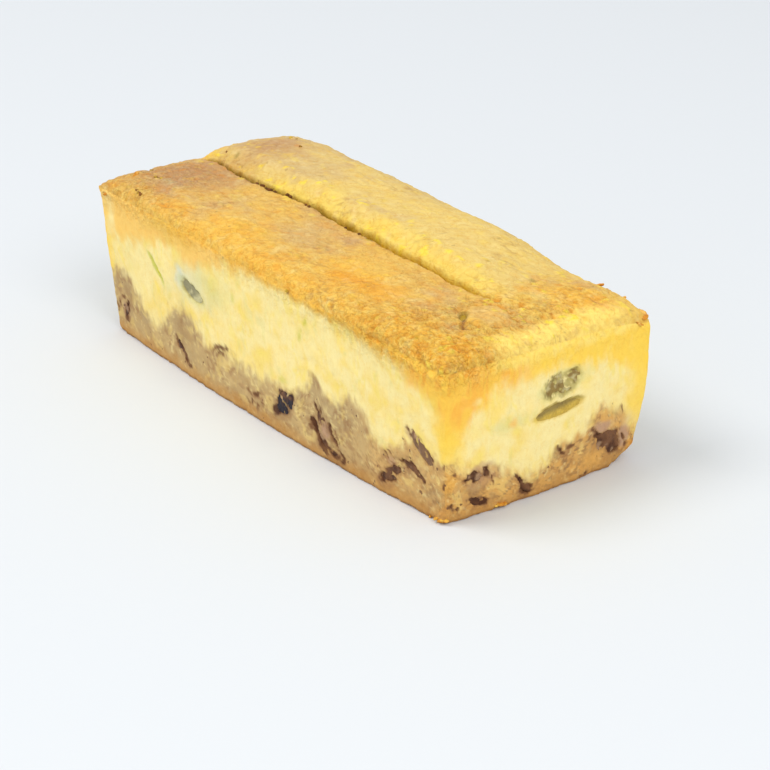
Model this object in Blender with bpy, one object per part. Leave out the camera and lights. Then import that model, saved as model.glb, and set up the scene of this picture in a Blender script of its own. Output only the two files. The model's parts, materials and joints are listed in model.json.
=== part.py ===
"""A pound cake loaf in two layers, with sweet red beans and green fruit showing in its walls.

Metres, +Z up. The origin is the middle of the flat base, +X runs along the loaf
towards the end with the big rounded corner, and -Y faces the long side with the
most beans.
"""

import math

import bmesh
import bpy
from mathutils import Matrix, Vector

MM = 0.001

# The tin: rim size, and how far each wall leans in from the rim down to the base.
RIM_HALF_LENGTH = 88.8 * MM
RIM_HALF_WIDTH = 37.95 * MM
WALL_LEAN = 3.3 * MM
BASE_EDGE = 0.8 * MM
# How far the walls bow out at the base, at the middle of the long sides and of the ends.
SIDE_BOW = 2.9 * MM
END_BOW = 1.6 * MM
# Heights of the rim at its four corners: (-X -Y), (+X -Y), (+X +Y), (-X +Y).
RIM_HEIGHTS = (49.8 * MM, 48.2 * MM, 46.2 * MM, 48.8 * MM)
# Plan radius of the same four corners, and how the rim sags over the far right one.
CORNER_RADII = (1.5 * MM, 1.8 * MM, 1.5 * MM, 2.4 * MM)
CORNER_SAG = 2.6 * MM
SAG_RADIUS = 9.0 * MM

# The top: the near half is a low crown, the far half a long hump behind the slit.
NEAR_RISE = 4.0 * MM
FAR_RISE = 8.9 * MM
RIGHT_RISE = 5.2 * MM
NEAR_SHOULDER = 15.0 * MM
FAR_SHOULDER = 17.0 * MM
NEAR_LEFT_SHOULDER = 20.0 * MM
FAR_LEFT_SHOULDER = 32.0 * MM
RIGHT_SHOULDER = 20.0 * MM
HUMP_END = (34.0 * MM, 62.0 * MM)

# The slit along the top, from the left end to where the hump runs out.
SLIT_DEPTH = 7.0 * MM
SLIT_END = (48.0 * MM, 66.0 * MM)
SLIT_DRIFT = 2.2 * MM
SLIT_WALL = 8.0 * MM
SLIT_LIP = 0.6 * MM
SLIT_FLOOR = 0.9 * MM

TOP_COLUMNS = 32
NEAR_ROWS = 7
FAR_ROWS = 8
WALL_LEVELS = (0.66, 0.33)

# The seam between the layers: a level and the swells of the lower batter, as x, y, rise, radius.
SEAM_LEVEL = 13.5 * MM
SEAM_SWELLS = (
    (-80, -36, 7.5, 9),
    (-58, -36, -5, 6),
    (-42, -36, 5, 10),
    (28, -36, 9, 6),
    (46, -36, 9, 9),
    (76, -36, 6.5, 11),
    (87, -34, 1.5, 6),
    (87, -6, -6.5, 10),
    (87, 22, 6.5, 7),
    (87, 35, -4, 6),
    (-88, 10, 5, 12),
    (-60, 36, 5, 14),
    (-12, 36, -3, 12),
    (22, 36, 7, 12),
    (62, 36, 3, 9),
)
SEAM_COLUMNS = 28
SEAM_ROWS = 11
SEAM_MARGIN = 4 * MM

GAP = 0.3 * MM

# Pieces in the walls: place along the wall and height of the middle, length, width,
# depth into the crumb (all mm), and the turn in the wall in degrees, rising towards +.
# Along runs with +X on the near and far walls and with +Y on the right and left ends.
RED_BEANS = {
    "near": (
        (-79.5, 9.4, 6.8, 4.8, 5.0, 75),
        (-42.4, 7.8, 9.8, 2.6, 3.6, -42),
        (13.2, 11.0, 10.6, 7.8, 6.0, 40),
        (33.6, 9.0, 15.6, 7.8, 6.0, -50),
        (63.4, 8.0, 11.4, 4.6, 4.4, 34),
        (73.6, 12.8, 10.6, 3.2, 4.4, -22),
        (77.0, 21.4, 13.0, 4.2, 5.0, -38),
    ),
    "right": (
        (-24.4, 13.0, 9.4, 3.8, 4.6, 2),
        (-23.4, 4.7, 7.4, 3.4, 4.4, -14),
        (-31.6, 5.0, 3.6, 3.0, 3.6, 60),
        (-7.0, 5.0, 8.0, 3.2, 4.0, -50),
        (24.4, 9.2, 13.0, 7.8, 6.4, -16),
    ),
    "far": (
        (-66.0, 8.4, 9.4, 6.6, 5.4, 30),
        (-39.0, 13.2, 10.6, 4.2, 5.0, -28),
        (-12.0, 5.6, 8.2, 4.4, 4.6, 10),
        (15.0, 12.2, 9.8, 7.8, 6.0, 70),
        (41.0, 6.0, 11.6, 5.0, 5.0, -40),
        (67.0, 11.0, 9.0, 3.6, 4.4, 18),
    ),
    "left": (
        (-19.0, 7.0, 9.2, 6.4, 5.4, 40),
        (5.0, 12.6, 10.2, 4.2, 5.0, -22),
        (24.0, 5.4, 7.6, 4.2, 4.4, 8),
    ),
}
GREEN_FRUIT = {
    "near": (
        (-35.4, 30.4, 12.4, 5.0, 5.0, -17),
        (-56.0, 31.6, 10.0, 1.6, 3.0, -42),
    ),
    "right": (
        (4.6, 33.4, 15.0, 7.4, 6.0, 8),
        (4.0, 25.4, 18.0, 4.8, 6.0, 4),
    ),
    "far": ((30.0, 31.0, 14.0, 6.4, 5.4, -24),),
    "left": ((-8.0, 30.0, 12.0, 5.4, 5.0, 20),),
}
TOP_FRUIT = (67.6 * MM, -14.2 * MM)
TOP_FRUIT_SIZE = (5.4 * MM, 3.0 * MM, 5.0 * MM)
TOP_FRUIT_TURN = -38
# How far the middle of a piece lies inside the surface, as a share of its depth.
WALL_SINK = 0.12
TOP_SINK = 0.1
BEAN_SEGMENTS = 9
BEAN_RINGS = 6

YELLOW = ((0.93, 0.68, 0.22), 0.72)
TAN = ((0.56, 0.38, 0.21), 0.75)
BEAN_RED = ((0.12, 0.035, 0.03), 0.38)
GREEN = ((0.40, 0.42, 0.12), 0.35)


def clear_scene():
    for thing in list(bpy.data.objects):
        bpy.data.objects.remove(thing, do_unlink=True)


def make_material(name, look):
    colour, roughness = look
    material = bpy.data.materials.new(name)
    material.use_nodes = True
    shader = material.node_tree.nodes["Principled BSDF"]
    shader.inputs["Base Color"].default_value = (*colour, 1)
    shader.inputs["Roughness"].default_value = roughness
    shader.inputs["Metallic"].default_value = 0
    return material


def add_object(name, mesh, material=None):
    thing = bpy.data.objects.new(name, mesh)
    bpy.context.collection.objects.link(thing)
    if material:
        mesh.materials.append(material)
    return thing


def make_helper(thing):
    thing.hide_render = True
    thing.display_type = "WIRE"


def add_boolean(thing, operation, other):
    modifier = thing.modifiers.new(operation.title(), "BOOLEAN")
    modifier.operation = operation
    modifier.solver = "EXACT"
    if isinstance(other, bpy.types.Collection):
        modifier.operand_type = "COLLECTION"
        modifier.collection = other
    else:
        modifier.object = other


def smooth(t):
    t = min(max(t, 0.0), 1.0)
    return t * t * (3 - 2 * t)


def shoulder(distance, radius):
    """0 at an edge, rising like a quarter circle to 1 at the radius."""
    t = 1 - min(max(distance / radius, 0.0), 1.0)
    return math.sqrt(1 - t * t)


def rim_height(x, y):
    u = 0.5 + 0.5 * x / RIM_HALF_LENGTH
    v = 0.5 + 0.5 * y / RIM_HALF_WIDTH
    near_left, near_right, far_right, far_left = RIM_HEIGHTS
    near = near_left + (near_right - near_left) * u
    far = far_left + (far_right - far_left) * u
    away = math.hypot(RIM_HALF_LENGTH - x, RIM_HALF_WIDTH - y) / SAG_RADIUS
    return near + (far - near) * v - CORNER_SAG * math.exp(-away * away)


def slit_line(x):
    """The slit drifts towards the near side as it goes right."""
    return -SLIT_DRIFT * smooth(0.5 + 0.5 * x / RIM_HALF_LENGTH)


def slit_strength(x):
    return 1 - smooth((x - SLIT_END[0]) / (SLIT_END[1] - SLIT_END[0]))


def top_height(x, y):
    """Height of the baked top, slit wall included but not the groove of the slit."""
    from_left = RIM_HALF_LENGTH + x
    right = shoulder(RIM_HALF_LENGTH - x, RIGHT_SHOULDER)
    side = RIM_HALF_WIDTH - abs(y)
    fade = smooth((x - HUMP_END[0]) / (HUMP_END[1] - HUMP_END[0]))
    near = NEAR_RISE * shoulder(side, NEAR_SHOULDER) * right
    near *= shoulder(from_left, NEAR_LEFT_SHOULDER)
    hump = (FAR_RISE + (RIGHT_RISE - FAR_RISE) * fade) * shoulder(side, FAR_SHOULDER)
    hump *= shoulder(from_left, FAR_LEFT_SHOULDER) * right
    climb = smooth((y - slit_line(x)) / SLIT_WALL)
    return rim_height(x, y) + near + (hump - near) * climb


def round_corner(x, y):
    """Turns the corner zone of a rectangle into a quarter disc."""
    index = {(-1, -1): 0, (1, -1): 1, (1, 1): 2, (-1, 1): 3}
    sign_x = 1 if x > 0 else -1
    sign_y = 1 if y > 0 else -1
    radius = CORNER_RADII[index[sign_x, sign_y]]
    p = (abs(x) - (RIM_HALF_LENGTH - radius)) / radius
    q = (abs(y) - (RIM_HALF_WIDTH - radius)) / radius
    if p <= 0 or q <= 0:
        return x, y
    pull = max(p, q) / math.hypot(p, q)
    x = sign_x * (RIM_HALF_LENGTH - radius + radius * p * pull)
    y = sign_y * (RIM_HALF_WIDTH - radius + radius * q * pull)
    return x, y


def ease_ends(t):
    """Spaces -1..1 closer together towards both ends."""
    return t * (1.22 - 0.22 * t * t)


def row_between(start, rim, part):
    """A row between the slit and the rim, with the rows closer together towards the rim."""
    return start + (rim - start) * math.sin(0.5 * math.pi * part)


def row_places(x):
    """The rows across the top at one station along it, with three of them in the slit."""
    line = slit_line(x)
    lip = line - SLIT_LIP
    foot = line + SLIT_FLOOR + SLIT_LIP
    near = [row_between(lip, -RIM_HALF_WIDTH, 1 - i / NEAR_ROWS) for i in range(NEAR_ROWS)]
    far = [row_between(foot, RIM_HALF_WIDTH, i / FAR_ROWS) for i in range(1, FAR_ROWS + 1)]
    return near + [lip, line, foot] + far


def build_top(bm):
    """The top as a grid, with its outer edge as the rim."""
    rows = len(row_places(0))
    bmesh.ops.create_grid(bm, x_segments=TOP_COLUMNS, y_segments=rows - 1, size=1)
    for vert in bm.verts:
        x = RIM_HALF_LENGTH * ease_ends(vert.co.x)
        row = round((vert.co.y + 1) / 2 * (rows - 1))
        y = row_places(x)[row]
        z = top_height(x, y)
        if row == NEAR_ROWS + 1:
            z -= SLIT_DEPTH * slit_strength(x) * shoulder(RIM_HALF_LENGTH + x, SLIT_DEPTH)
        x, y = round_corner(x, y)
        vert.co = (x, y, z)


def bow(across, along, amount):
    """Outward push on a wall, full at the middle of its run and nothing at its ends."""
    return amount * across * max(0.0, 1 - along * along)


def build_walls(bm):
    """Rings drawn down from the rim, a rounded base edge, and the flat base."""
    ring = [edge for edge in bm.edges if edge.is_boundary]
    rim_mean = sum(RIM_HEIGHTS) / 4
    levels = [(part, WALL_LEAN * (1 - part)) for part in WALL_LEVELS]
    levels.append((1.6 * BASE_EDGE / rim_mean, WALL_LEAN))
    levels.append((0.4 * BASE_EDGE / rim_mean, WALL_LEAN + 0.4 * BASE_EDGE))
    levels.append((0.0, WALL_LEAN + BASE_EDGE))
    last_part, last_inset = 1.0, 0.0
    for part, inset in levels:
        grown = bmesh.ops.extrude_edge_only(bm, edges=ring)["geom"]
        ring = [item for item in grown if isinstance(item, bmesh.types.BMEdge)]
        for vert in (item for item in grown if isinstance(item, bmesh.types.BMVert)):
            u = vert.co.x / (RIM_HALF_LENGTH - last_inset)
            v = vert.co.y / (RIM_HALF_WIDTH - last_inset)
            vert.co.x = u * (RIM_HALF_LENGTH - inset) + bow(u, v, END_BOW) * (last_part - part)
            vert.co.y = v * (RIM_HALF_WIDTH - inset) + bow(v, u, SIDE_BOW) * (last_part - part)
            vert.co.z *= part / last_part
        last_part, last_inset = part, inset
    ring = [edge for edge in ring if edge.is_boundary]
    bmesh.ops.contextual_create(bm, geom=ring)


def finish_mesh(bm, name):
    """Triangulated first, so that every cut through a bent quad follows the same fold."""
    bmesh.ops.triangulate(bm, faces=bm.faces)
    bmesh.ops.recalc_face_normals(bm, faces=bm.faces)
    mesh = bpy.data.meshes.new(name)
    bm.to_mesh(mesh)
    bm.free()
    return mesh


def loaf_mesh(name):
    bm = bmesh.new()
    build_top(bm)
    build_walls(bm)
    return finish_mesh(bm, name)


def seam_height(x, y):
    height = SEAM_LEVEL
    for centre_x, centre_y, rise, radius in SEAM_SWELLS:
        away = ((x / MM - centre_x) ** 2 + (y / MM - centre_y) ** 2) / radius**2
        height += rise * MM * math.exp(-away)
    return height


def seam_block(name, lift):
    """Everything under the seam, as a block that reaches past the walls and the base."""
    bm = bmesh.new()
    bmesh.ops.create_grid(bm, x_segments=SEAM_COLUMNS, y_segments=SEAM_ROWS, size=1)
    for vert in bm.verts:
        vert.co.x *= RIM_HALF_LENGTH + SEAM_MARGIN
        vert.co.y *= RIM_HALF_WIDTH + SEAM_MARGIN
        vert.co.z = seam_height(vert.co.x, vert.co.y) + lift
    edges = [edge for edge in bm.edges if edge.is_boundary]
    grown = bmesh.ops.extrude_edge_only(bm, edges=edges)["geom"]
    for vert in (item for item in grown if isinstance(item, bmesh.types.BMVert)):
        vert.co.z = -SEAM_MARGIN
    bmesh.ops.contextual_create(bm, geom=[edge for edge in bm.edges if edge.is_boundary])
    block = add_object(name, finish_mesh(bm, name))
    make_helper(block)
    return block


def ellipsoid(name, size, place):
    """A low-poly ellipsoid with its full size along its own axes, baked at its place."""
    bm = bmesh.new()
    bmesh.ops.create_uvsphere(bm, u_segments=BEAN_SEGMENTS, v_segments=BEAN_RINGS, radius=0.5)
    bmesh.ops.transform(bm, matrix=place @ Matrix.Diagonal((*size, 1)), verts=bm.verts)
    mesh = bpy.data.meshes.new(name)
    bm.to_mesh(mesh)
    bm.free()
    mesh.shade_smooth()
    return mesh


def wall_place(wall, along, height, depth, turn):
    """Frame on a wall: x runs along the wall, z into the cake, with the middle just inside."""
    facing = {"near": 0, "right": 90, "far": 180, "left": 270}[wall]
    half, run, most = RIM_HALF_WIDTH, RIM_HALF_LENGTH, SIDE_BOW
    if wall in ("right", "left"):
        half, run, most = RIM_HALF_LENGTH, RIM_HALF_WIDTH, END_BOW
    rim_mean = sum(RIM_HEIGHTS) / 4
    inset = WALL_LEAN - bow(1, along / run, most)
    lean = math.atan2(inset, rim_mean)
    out_to_wall = inset * (1 - height / rim_mean)
    if wall in ("far", "left"):
        along = -along
    stand = Matrix.Rotation(math.radians(facing), 4, "Z")
    stand @= Matrix.Translation((along, -(half - out_to_wall) + WALL_SINK * depth, height))
    stand @= Matrix.Rotation(math.radians(90) - lean, 4, "X")
    return stand @ Matrix.Rotation(math.radians(turn), 4, "Z")


def add_inset_piece(name, size, place, block, pockets, material):
    """A piece trimmed flush with the loaf, and the pocket it sits in."""
    piece = add_object(name, ellipsoid(name, size, place), material)
    add_boolean(piece, "INTERSECT", block)
    grown = Vector(size) + Vector((2 * GAP,) * 3)
    cutter = add_object(name + "_pocket", ellipsoid(name + "_pocket", grown, place))
    make_helper(cutter)
    pockets.objects.link(cutter)
    bpy.context.collection.objects.unlink(cutter)


def add_wall_pieces(kind, table, block, pockets, material):
    for wall, pieces in table.items():
        for number, piece in enumerate(pieces, 1):
            along, height, length, width, depth, turn = piece
            place = wall_place(wall, along * MM, height * MM, depth * MM, turn)
            size = (length * MM, width * MM, depth * MM)
            add_inset_piece(f"{kind}_{wall}_{number}", size, place, block, pockets, material)


def main():
    clear_scene()
    pockets = bpy.data.collections.new("pockets")
    pockets.hide_render = True
    bpy.context.scene.collection.children.link(pockets)

    block = add_object("loaf_block", loaf_mesh("loaf_block"))
    make_helper(block)
    bean_red = make_material("bean_red", BEAN_RED)
    green = make_material("green_fruit", GREEN)
    add_wall_pieces("red_bean", RED_BEANS, block, pockets, bean_red)
    add_wall_pieces("green_fruit", GREEN_FRUIT, block, pockets, green)
    top_level = top_height(*TOP_FRUIT) - TOP_SINK * TOP_FRUIT_SIZE[2]
    top_place = Matrix.Translation((*TOP_FRUIT, top_level))
    top_place @= Matrix.Rotation(math.radians(TOP_FRUIT_TURN), 4, "Z")
    add_inset_piece("green_fruit_top_1", TOP_FRUIT_SIZE, top_place, block, pockets, green)

    yellow = make_material("yellow_crumb", YELLOW)
    upper = add_object("yellow_crumb", loaf_mesh("yellow_crumb"), yellow)
    add_boolean(upper, "DIFFERENCE", seam_block("seam_upper", GAP / 2))
    add_boolean(upper, "DIFFERENCE", pockets)
    lower = add_object("bean_crumb", loaf_mesh("bean_crumb"), make_material("bean_crumb", TAN))
    add_boolean(lower, "INTERSECT", seam_block("seam_lower", -GAP / 2))
    add_boolean(lower, "DIFFERENCE", pockets)


main()
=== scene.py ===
import json
import math

import bpy
import numpy as np
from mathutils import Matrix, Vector

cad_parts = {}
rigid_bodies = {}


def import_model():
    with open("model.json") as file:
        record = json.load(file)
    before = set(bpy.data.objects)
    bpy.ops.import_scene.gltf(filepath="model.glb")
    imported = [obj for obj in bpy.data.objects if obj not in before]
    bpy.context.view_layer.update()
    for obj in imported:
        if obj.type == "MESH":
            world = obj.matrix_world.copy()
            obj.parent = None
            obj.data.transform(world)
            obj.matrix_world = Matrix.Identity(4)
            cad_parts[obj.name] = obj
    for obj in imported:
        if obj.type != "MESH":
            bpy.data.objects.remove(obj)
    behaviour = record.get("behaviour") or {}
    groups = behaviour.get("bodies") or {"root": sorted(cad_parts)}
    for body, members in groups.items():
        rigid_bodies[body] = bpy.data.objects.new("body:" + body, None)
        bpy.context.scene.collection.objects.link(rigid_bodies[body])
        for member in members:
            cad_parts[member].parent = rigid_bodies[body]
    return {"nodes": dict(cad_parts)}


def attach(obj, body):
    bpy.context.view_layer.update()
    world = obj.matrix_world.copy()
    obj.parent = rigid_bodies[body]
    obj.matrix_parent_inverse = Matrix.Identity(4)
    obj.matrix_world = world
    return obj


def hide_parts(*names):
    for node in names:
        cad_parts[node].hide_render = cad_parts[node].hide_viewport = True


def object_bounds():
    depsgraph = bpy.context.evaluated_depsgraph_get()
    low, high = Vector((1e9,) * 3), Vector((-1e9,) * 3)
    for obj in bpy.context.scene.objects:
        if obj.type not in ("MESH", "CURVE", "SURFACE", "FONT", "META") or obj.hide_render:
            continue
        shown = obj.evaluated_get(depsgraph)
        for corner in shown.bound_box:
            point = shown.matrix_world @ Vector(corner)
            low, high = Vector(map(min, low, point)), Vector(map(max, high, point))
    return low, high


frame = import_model()
cadLow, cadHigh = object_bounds()
mm = 0.001
halfLength = (cadHigh.x - cadLow.x) / 2 / mm
halfWidth = (cadHigh.y - cadLow.y) / 2 / mm
print(f"frame loaded, {len(frame['nodes'])} nodes")


# Small helpers. Shapes are worked out in millimetres on whole arrays of points.

def ramp(value):
    value = np.clip(value, 0, 1)
    return value * value * (3 - 2 * value)


def shoulder(distance, radius):
    left = 1 - np.clip(distance / radius, 0, 1)
    return np.sqrt(1 - left * left)


def hill(distance, reach):
    return np.exp(-(distance / reach) ** 2)


def blend(low, high, amount):
    return low + (high - low) * amount


def latticeNoise(points, size, seed):  # smooth random values from -1 to 1, the same in every run
    place = points / np.asarray(size, float) + seed * 7.31
    cell = np.floor(place).astype(np.int64)
    part = place - cell
    part = part * part * (3 - 2 * part)
    total = np.zeros(len(points))
    for corner in range(8):
        step = np.array([corner & 1, corner >> 1 & 1, corner >> 2 & 1])
        at = cell + step
        mixed = (at[:, 0] * 73856093) ^ (at[:, 1] * 19349663) ^ (at[:, 2] * 83492791) ^ (seed * 2654435)
        mixed &= 0xFFFFFFFF
        mixed = ((mixed ^ (mixed >> 15)) * 2246822519) & 0xFFFFFFFF
        mixed = ((mixed ^ (mixed >> 13)) * 3266489917) & 0xFFFFFFFF
        value = ((mixed >> 9) & 0xFFFF) / 32767.5 - 1
        total += value * np.prod(np.where(step, part, 1 - part), axis=1)
    return total


def noise(points, size, seed, octaves=2):
    total, gain, whole = 0, 1.0, 0.0
    for octave in range(octaves):
        total = total + gain * latticeNoise(points, np.asarray(size, float) / 2**octave, seed + 17 * octave)
        whole += gain
        gain *= 0.55
    return total / whole * 1.35


def warped(points, size, amount, seed):
    shift = [noise(points, size, seed + 5 * axis) for axis in range(3)]
    return points + amount * np.stack(shift, axis=1)


def tint(red, green, blue):  # a colour as it is seen, made linear
    value = np.array([red, green, blue]) / 255
    return np.where(value <= 0.04045, value / 12.92, ((value + 0.055) / 1.055) ** 2.4)


def getPoints(mesh):
    flat = np.empty(len(mesh.vertices) * 3, np.float32)
    mesh.vertices.foreach_get("co", flat)
    return flat.reshape(-1, 3).astype(float)


def setPoints(mesh, points):
    mesh.vertices.foreach_set("co", points.astype(np.float32).ravel())
    mesh.update()


def getNormals(mesh):
    flat = np.empty(len(mesh.vertices) * 3, np.float32)
    mesh.vertices.foreach_get("normal", flat)
    return flat.reshape(-1, 3).astype(float)


def storeColour(mesh, name, colour):
    layer = mesh.color_attributes.new(name, "FLOAT_COLOR", "POINT")
    full = np.ones((len(colour), 4), np.float32)
    full[:, :3] = np.clip(colour, 0, 1)
    layer.data.foreach_set("color", full.ravel())


def editMode(piece):
    bpy.ops.object.select_all(action="DESELECT")
    piece.select_set(True)
    bpy.context.view_layer.objects.active = piece
    bpy.ops.object.mode_set(mode="EDIT")


def objectMode():
    bpy.ops.object.mode_set(mode="OBJECT")


def clearSelection(mesh):
    for group in (mesh.vertices, mesh.edges, mesh.polygons):
        group.foreach_set("select", np.zeros(len(group), bool))


def applyModifiers(piece):
    bpy.context.view_layer.objects.active = piece
    for modifier in list(piece.modifiers):
        bpy.ops.object.modifier_apply(modifier=modifier.name)


# Camera, floor and light

camera = {"turn": 52.84, "height": 24.93, "distance": 0.7447, "aim": (0.0021, 0.0081, 0), "lens": 112.2}


def placeCamera():
    turn, height = math.radians(camera["turn"]), math.radians(camera["height"])
    forward = Vector((-math.sin(turn) * math.cos(height), math.cos(turn) * math.cos(height), -math.sin(height)))
    place = Vector(camera["aim"]) - forward * camera["distance"]
    bpy.ops.object.camera_add(location=place, rotation=forward.to_track_quat("-Z", "Y").to_euler())
    bpy.context.object.data.lens = camera["lens"]
    bpy.context.object.data.clip_start = 0.01
    bpy.context.scene.camera = bpy.context.object


studio = {
    "sky": ((0.97, 0.98, 1.0), 0.72),
    # place, size and watts of each soft lamp
    "lamps": [
        ((-0.70, -1.12, 1.89), 1.25, 22.8, (1.0, 0.985, 0.96)),
        ((1.47, -0.28, 1.33), 1.1, 13.6, (1.0, 0.985, 0.96)),
    ],
    "floor": (0.71, 0.742, 0.77),
}


def lightStudio():
    world = bpy.data.worlds.new("softSky")
    bpy.context.scene.world = world
    world.use_nodes = True
    sky = world.node_tree.nodes["Background"]
    sky.inputs["Color"].default_value = (*studio["sky"][0], 1)
    sky.inputs["Strength"].default_value = studio["sky"][1]
    for place, size, watts, colour in studio["lamps"]:
        toLoaf = Vector((0, 0, 0.02)) - Vector(place)
        bpy.ops.object.light_add(type="AREA", location=place, rotation=toLoaf.to_track_quat("-Z", "Y").to_euler())
        lamp = bpy.context.object.data
        lamp.shape = "DISK"
        lamp.size = size
        lamp.energy = watts
        lamp.color = colour
    bpy.ops.mesh.primitive_plane_add(size=8, location=(0, 0, 0))
    floor = bpy.context.object
    floor.name = "paleFloor"
    surface = bpy.data.materials.new("palePaper")
    surface.use_nodes = True
    shader = surface.node_tree.nodes["Principled BSDF"]
    shader.inputs["Base Color"].default_value = (*studio["floor"], 1)
    shader.inputs["Roughness"].default_value = 0.7
    floor.data.materials.append(surface)
    bpy.context.scene.view_settings.view_transform = "Standard"


placeCamera()
lightStudio()
print("camera, floor and lamps placed")


# The loaf as one skin: a cube cut into rows and columns, then given the form of the baked loaf.

loafForm = {
    "cutsAlong": (9, 28),  # 10 x 29 columns
    "cutsAcross": (9, 14),  # 10 x 15 rows
    "cutsUp": (9, 9),  # 10 x 10 levels
    "rimRound": (2.0, 3.6),  # how far the rim is rounded, at the left and at the right
    "rim": (49.8, 48.2, 46.2, 48.8),  # near left, near right, far right, far left
    "corners": (1.5, 1.8, 1.5, 2.4),
    "lean": 3.3,
    "baseEdge": 0.8,
    "sideBow": 2.9,
    "endBow": 1.6,
    "sag": (1.7, 8.0),
    "rises": (4.0, 8.9, 5.2),  # near crown, hump, right end
    "shoulders": {"near": 15.0, "far": 17.0, "nearLeft": 20.0, "farLeft": 32.0, "right": 20.0},
    "humpEnd": (30.0, 64.0),
    "dip": (54.0, 17.0, 1.7),  # where the far rim dips, how far it reaches and how deep
    "knocked": 4.6,  # how far the far right corner is knocked off at the base
    "seamLevel": 13.5,
    "seamInset": (0.955, 0.895, 0),
    # swells of the lower batter: x, y, rise, radius
    "swells": [
        (-79, -36, 8.8, 10), (-58, -36, -5, 6), (-42, -36, 7.4, 10), (-4, -36, 1.6, 7), (28, -36, 9, 6), (46, -36, 9, 9),
        (76, -36, 6.5, 11), (87, -34, 1.5, 6), (87, -6, -6.5, 10), (87, 22, 6.5, 7), (87, 35, -4, 6),
        (-88, 10, 5, 12), (-60, 36, 5, 14), (-12, 36, -3, 12), (22, 36, 7, 12), (62, 36, 3, 9),
    ],
    "seamLevels": 46,  # how many of the levels lie under the seam
}

slit = {
    "depth": 6.0,
    "end": (52.0, 66.0),
    "drift": 2.2,
    "wall": 8.0,
    # where the near lip runs and how wide the gap is, from left to right
    "at": (-84, -70, -60, -50, -40, -34, -25, -15, -5, 5, 15, 30, 45, 56, 64),
    "lip": (-0.3, -1.5, -2.9, -2.8, -1.9, -0.8, -0.2, -1.2, -1.7, -1.1, -1.9, -1.6, -2.2, -1.8, -1.0),
    "gap": (0.6, 1.3, 2.2, 2.4, 2.0, 1.4, 1.0, 1.4, 1.9, 1.7, 2.0, 1.4, 1.5, 1.1, 0.5),
    "zone": (-0.12, 0.16),  # the rows that crowd round it
    "reach": (1.2, 4.8),
}


def rimHeight(x, y):
    nearLeft, nearRight, farRight, farLeft = loafForm["rim"]
    along, across = 0.5 + 0.5 * x / halfLength, 0.5 + 0.5 * y / halfWidth
    near = blend(nearLeft, nearRight, along)
    far = blend(farLeft, farRight, along)
    drop, reach = loafForm["sag"]
    return blend(near, far, across) - drop * hill(np.hypot(halfLength - x, halfWidth - y), reach)


def slitLine(x):
    return -slit["drift"] * ramp(0.5 + 0.5 * x / halfLength)


def topHeight(x, y):
    edges = loafForm["shoulders"]
    nearRise, farRise, rightRise = loafForm["rises"]
    start, end = loafForm["humpEnd"]
    side = halfWidth - np.abs(y)
    right = shoulder(halfLength - x, edges["right"])
    near = nearRise * shoulder(side, edges["near"]) * shoulder(halfLength + x, edges["nearLeft"]) * right
    hump = blend(farRise, rightRise, ramp((x - start) / (end - start))) * shoulder(side, edges["far"])
    hump = hump * shoulder(halfLength + x, edges["farLeft"]) * right
    middle, reach, depth = loafForm["dip"]
    hump = hump - depth * hill(x - middle, reach) * ramp((y - 8) / 18)
    return rimHeight(x, y) + near + (hump - near) * ramp((y - slitLine(x)) / slit["wall"])


def lipLine(x):
    flat = np.stack([x, 0 * x, 0 * x], axis=1)
    return np.interp(x, slit["at"], slit["lip"]) + 0.25 * noise(flat, 2.6, 3) + 0.2 * noise(flat, 9, 4)


def rowAcross(v, x):
    line = lipLine(x)
    first, last = slit["zone"]
    before, after = slit["reach"]
    near = np.clip((v + 1) / (first + 1), 0, 1)
    near = near - 0.3 * near * (1 - near)
    far = np.clip((v - last) / (1 - last), 0, 1)
    far = far + 0.3 * far * (1 - far)
    y = np.where(v < first, blend(-halfWidth, line - before, near), blend(line - before, line + after, (v - first) / (last - first)))
    return np.where(v > last, blend(line + after, halfWidth, far), y)


def roundCorners(x, y):
    which = np.where(y < 0, np.where(x < 0, 0, 1), np.where(x > 0, 2, 3))
    radius = np.array(loafForm["corners"])[which]
    p = (np.abs(x) - (halfLength - radius)) / radius
    q = (np.abs(y) - (halfWidth - radius)) / radius
    inside = (p <= 0) | (q <= 0)
    pull = np.maximum(p, q) / np.maximum(np.hypot(p, q), 1e-9)
    newX = np.sign(x) * (halfLength - radius + radius * p * pull)
    newY = np.sign(y) * (halfWidth - radius + radius * q * pull)
    return np.where(inside, x, newX), np.where(inside, y, newY)


def roundOff(distance, radius):  # how far a rounded edge moves a point across and along its face
    turn = math.pi / 4 * (1 - np.clip(distance / radius, 0, 1))
    return radius * (1 - np.cos(turn)), radius * (1 - np.sin(turn)) - np.clip(distance, 0, radius)


def seamHeight(x, y):
    height = np.full(len(x), loafForm["seamLevel"])
    for atX, atY, rise, radius in loafForm["swells"]:
        height += rise * np.exp(-((x - atX) ** 2 + (y - atY) ** 2) / radius**2)
    return height


def cutAlong(loaf, axis, cuts):
    mesh = loaf.data
    points = getPoints(mesh)
    ends = np.empty(len(mesh.edges) * 2, np.int32)
    mesh.edges.foreach_get("vertices", ends)
    ends = ends.reshape(-1, 2)
    run = np.abs(points[ends[:, 0]] - points[ends[:, 1]])
    clearSelection(mesh)
    mesh.edges.foreach_set("select", run[:, axis] > 0.9 * run.sum(axis=1))
    editMode(loaf)
    bpy.ops.mesh.select_mode(type="EDGE")
    bpy.ops.mesh.subdivide(number_cuts=cuts)
    objectMode()


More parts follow.
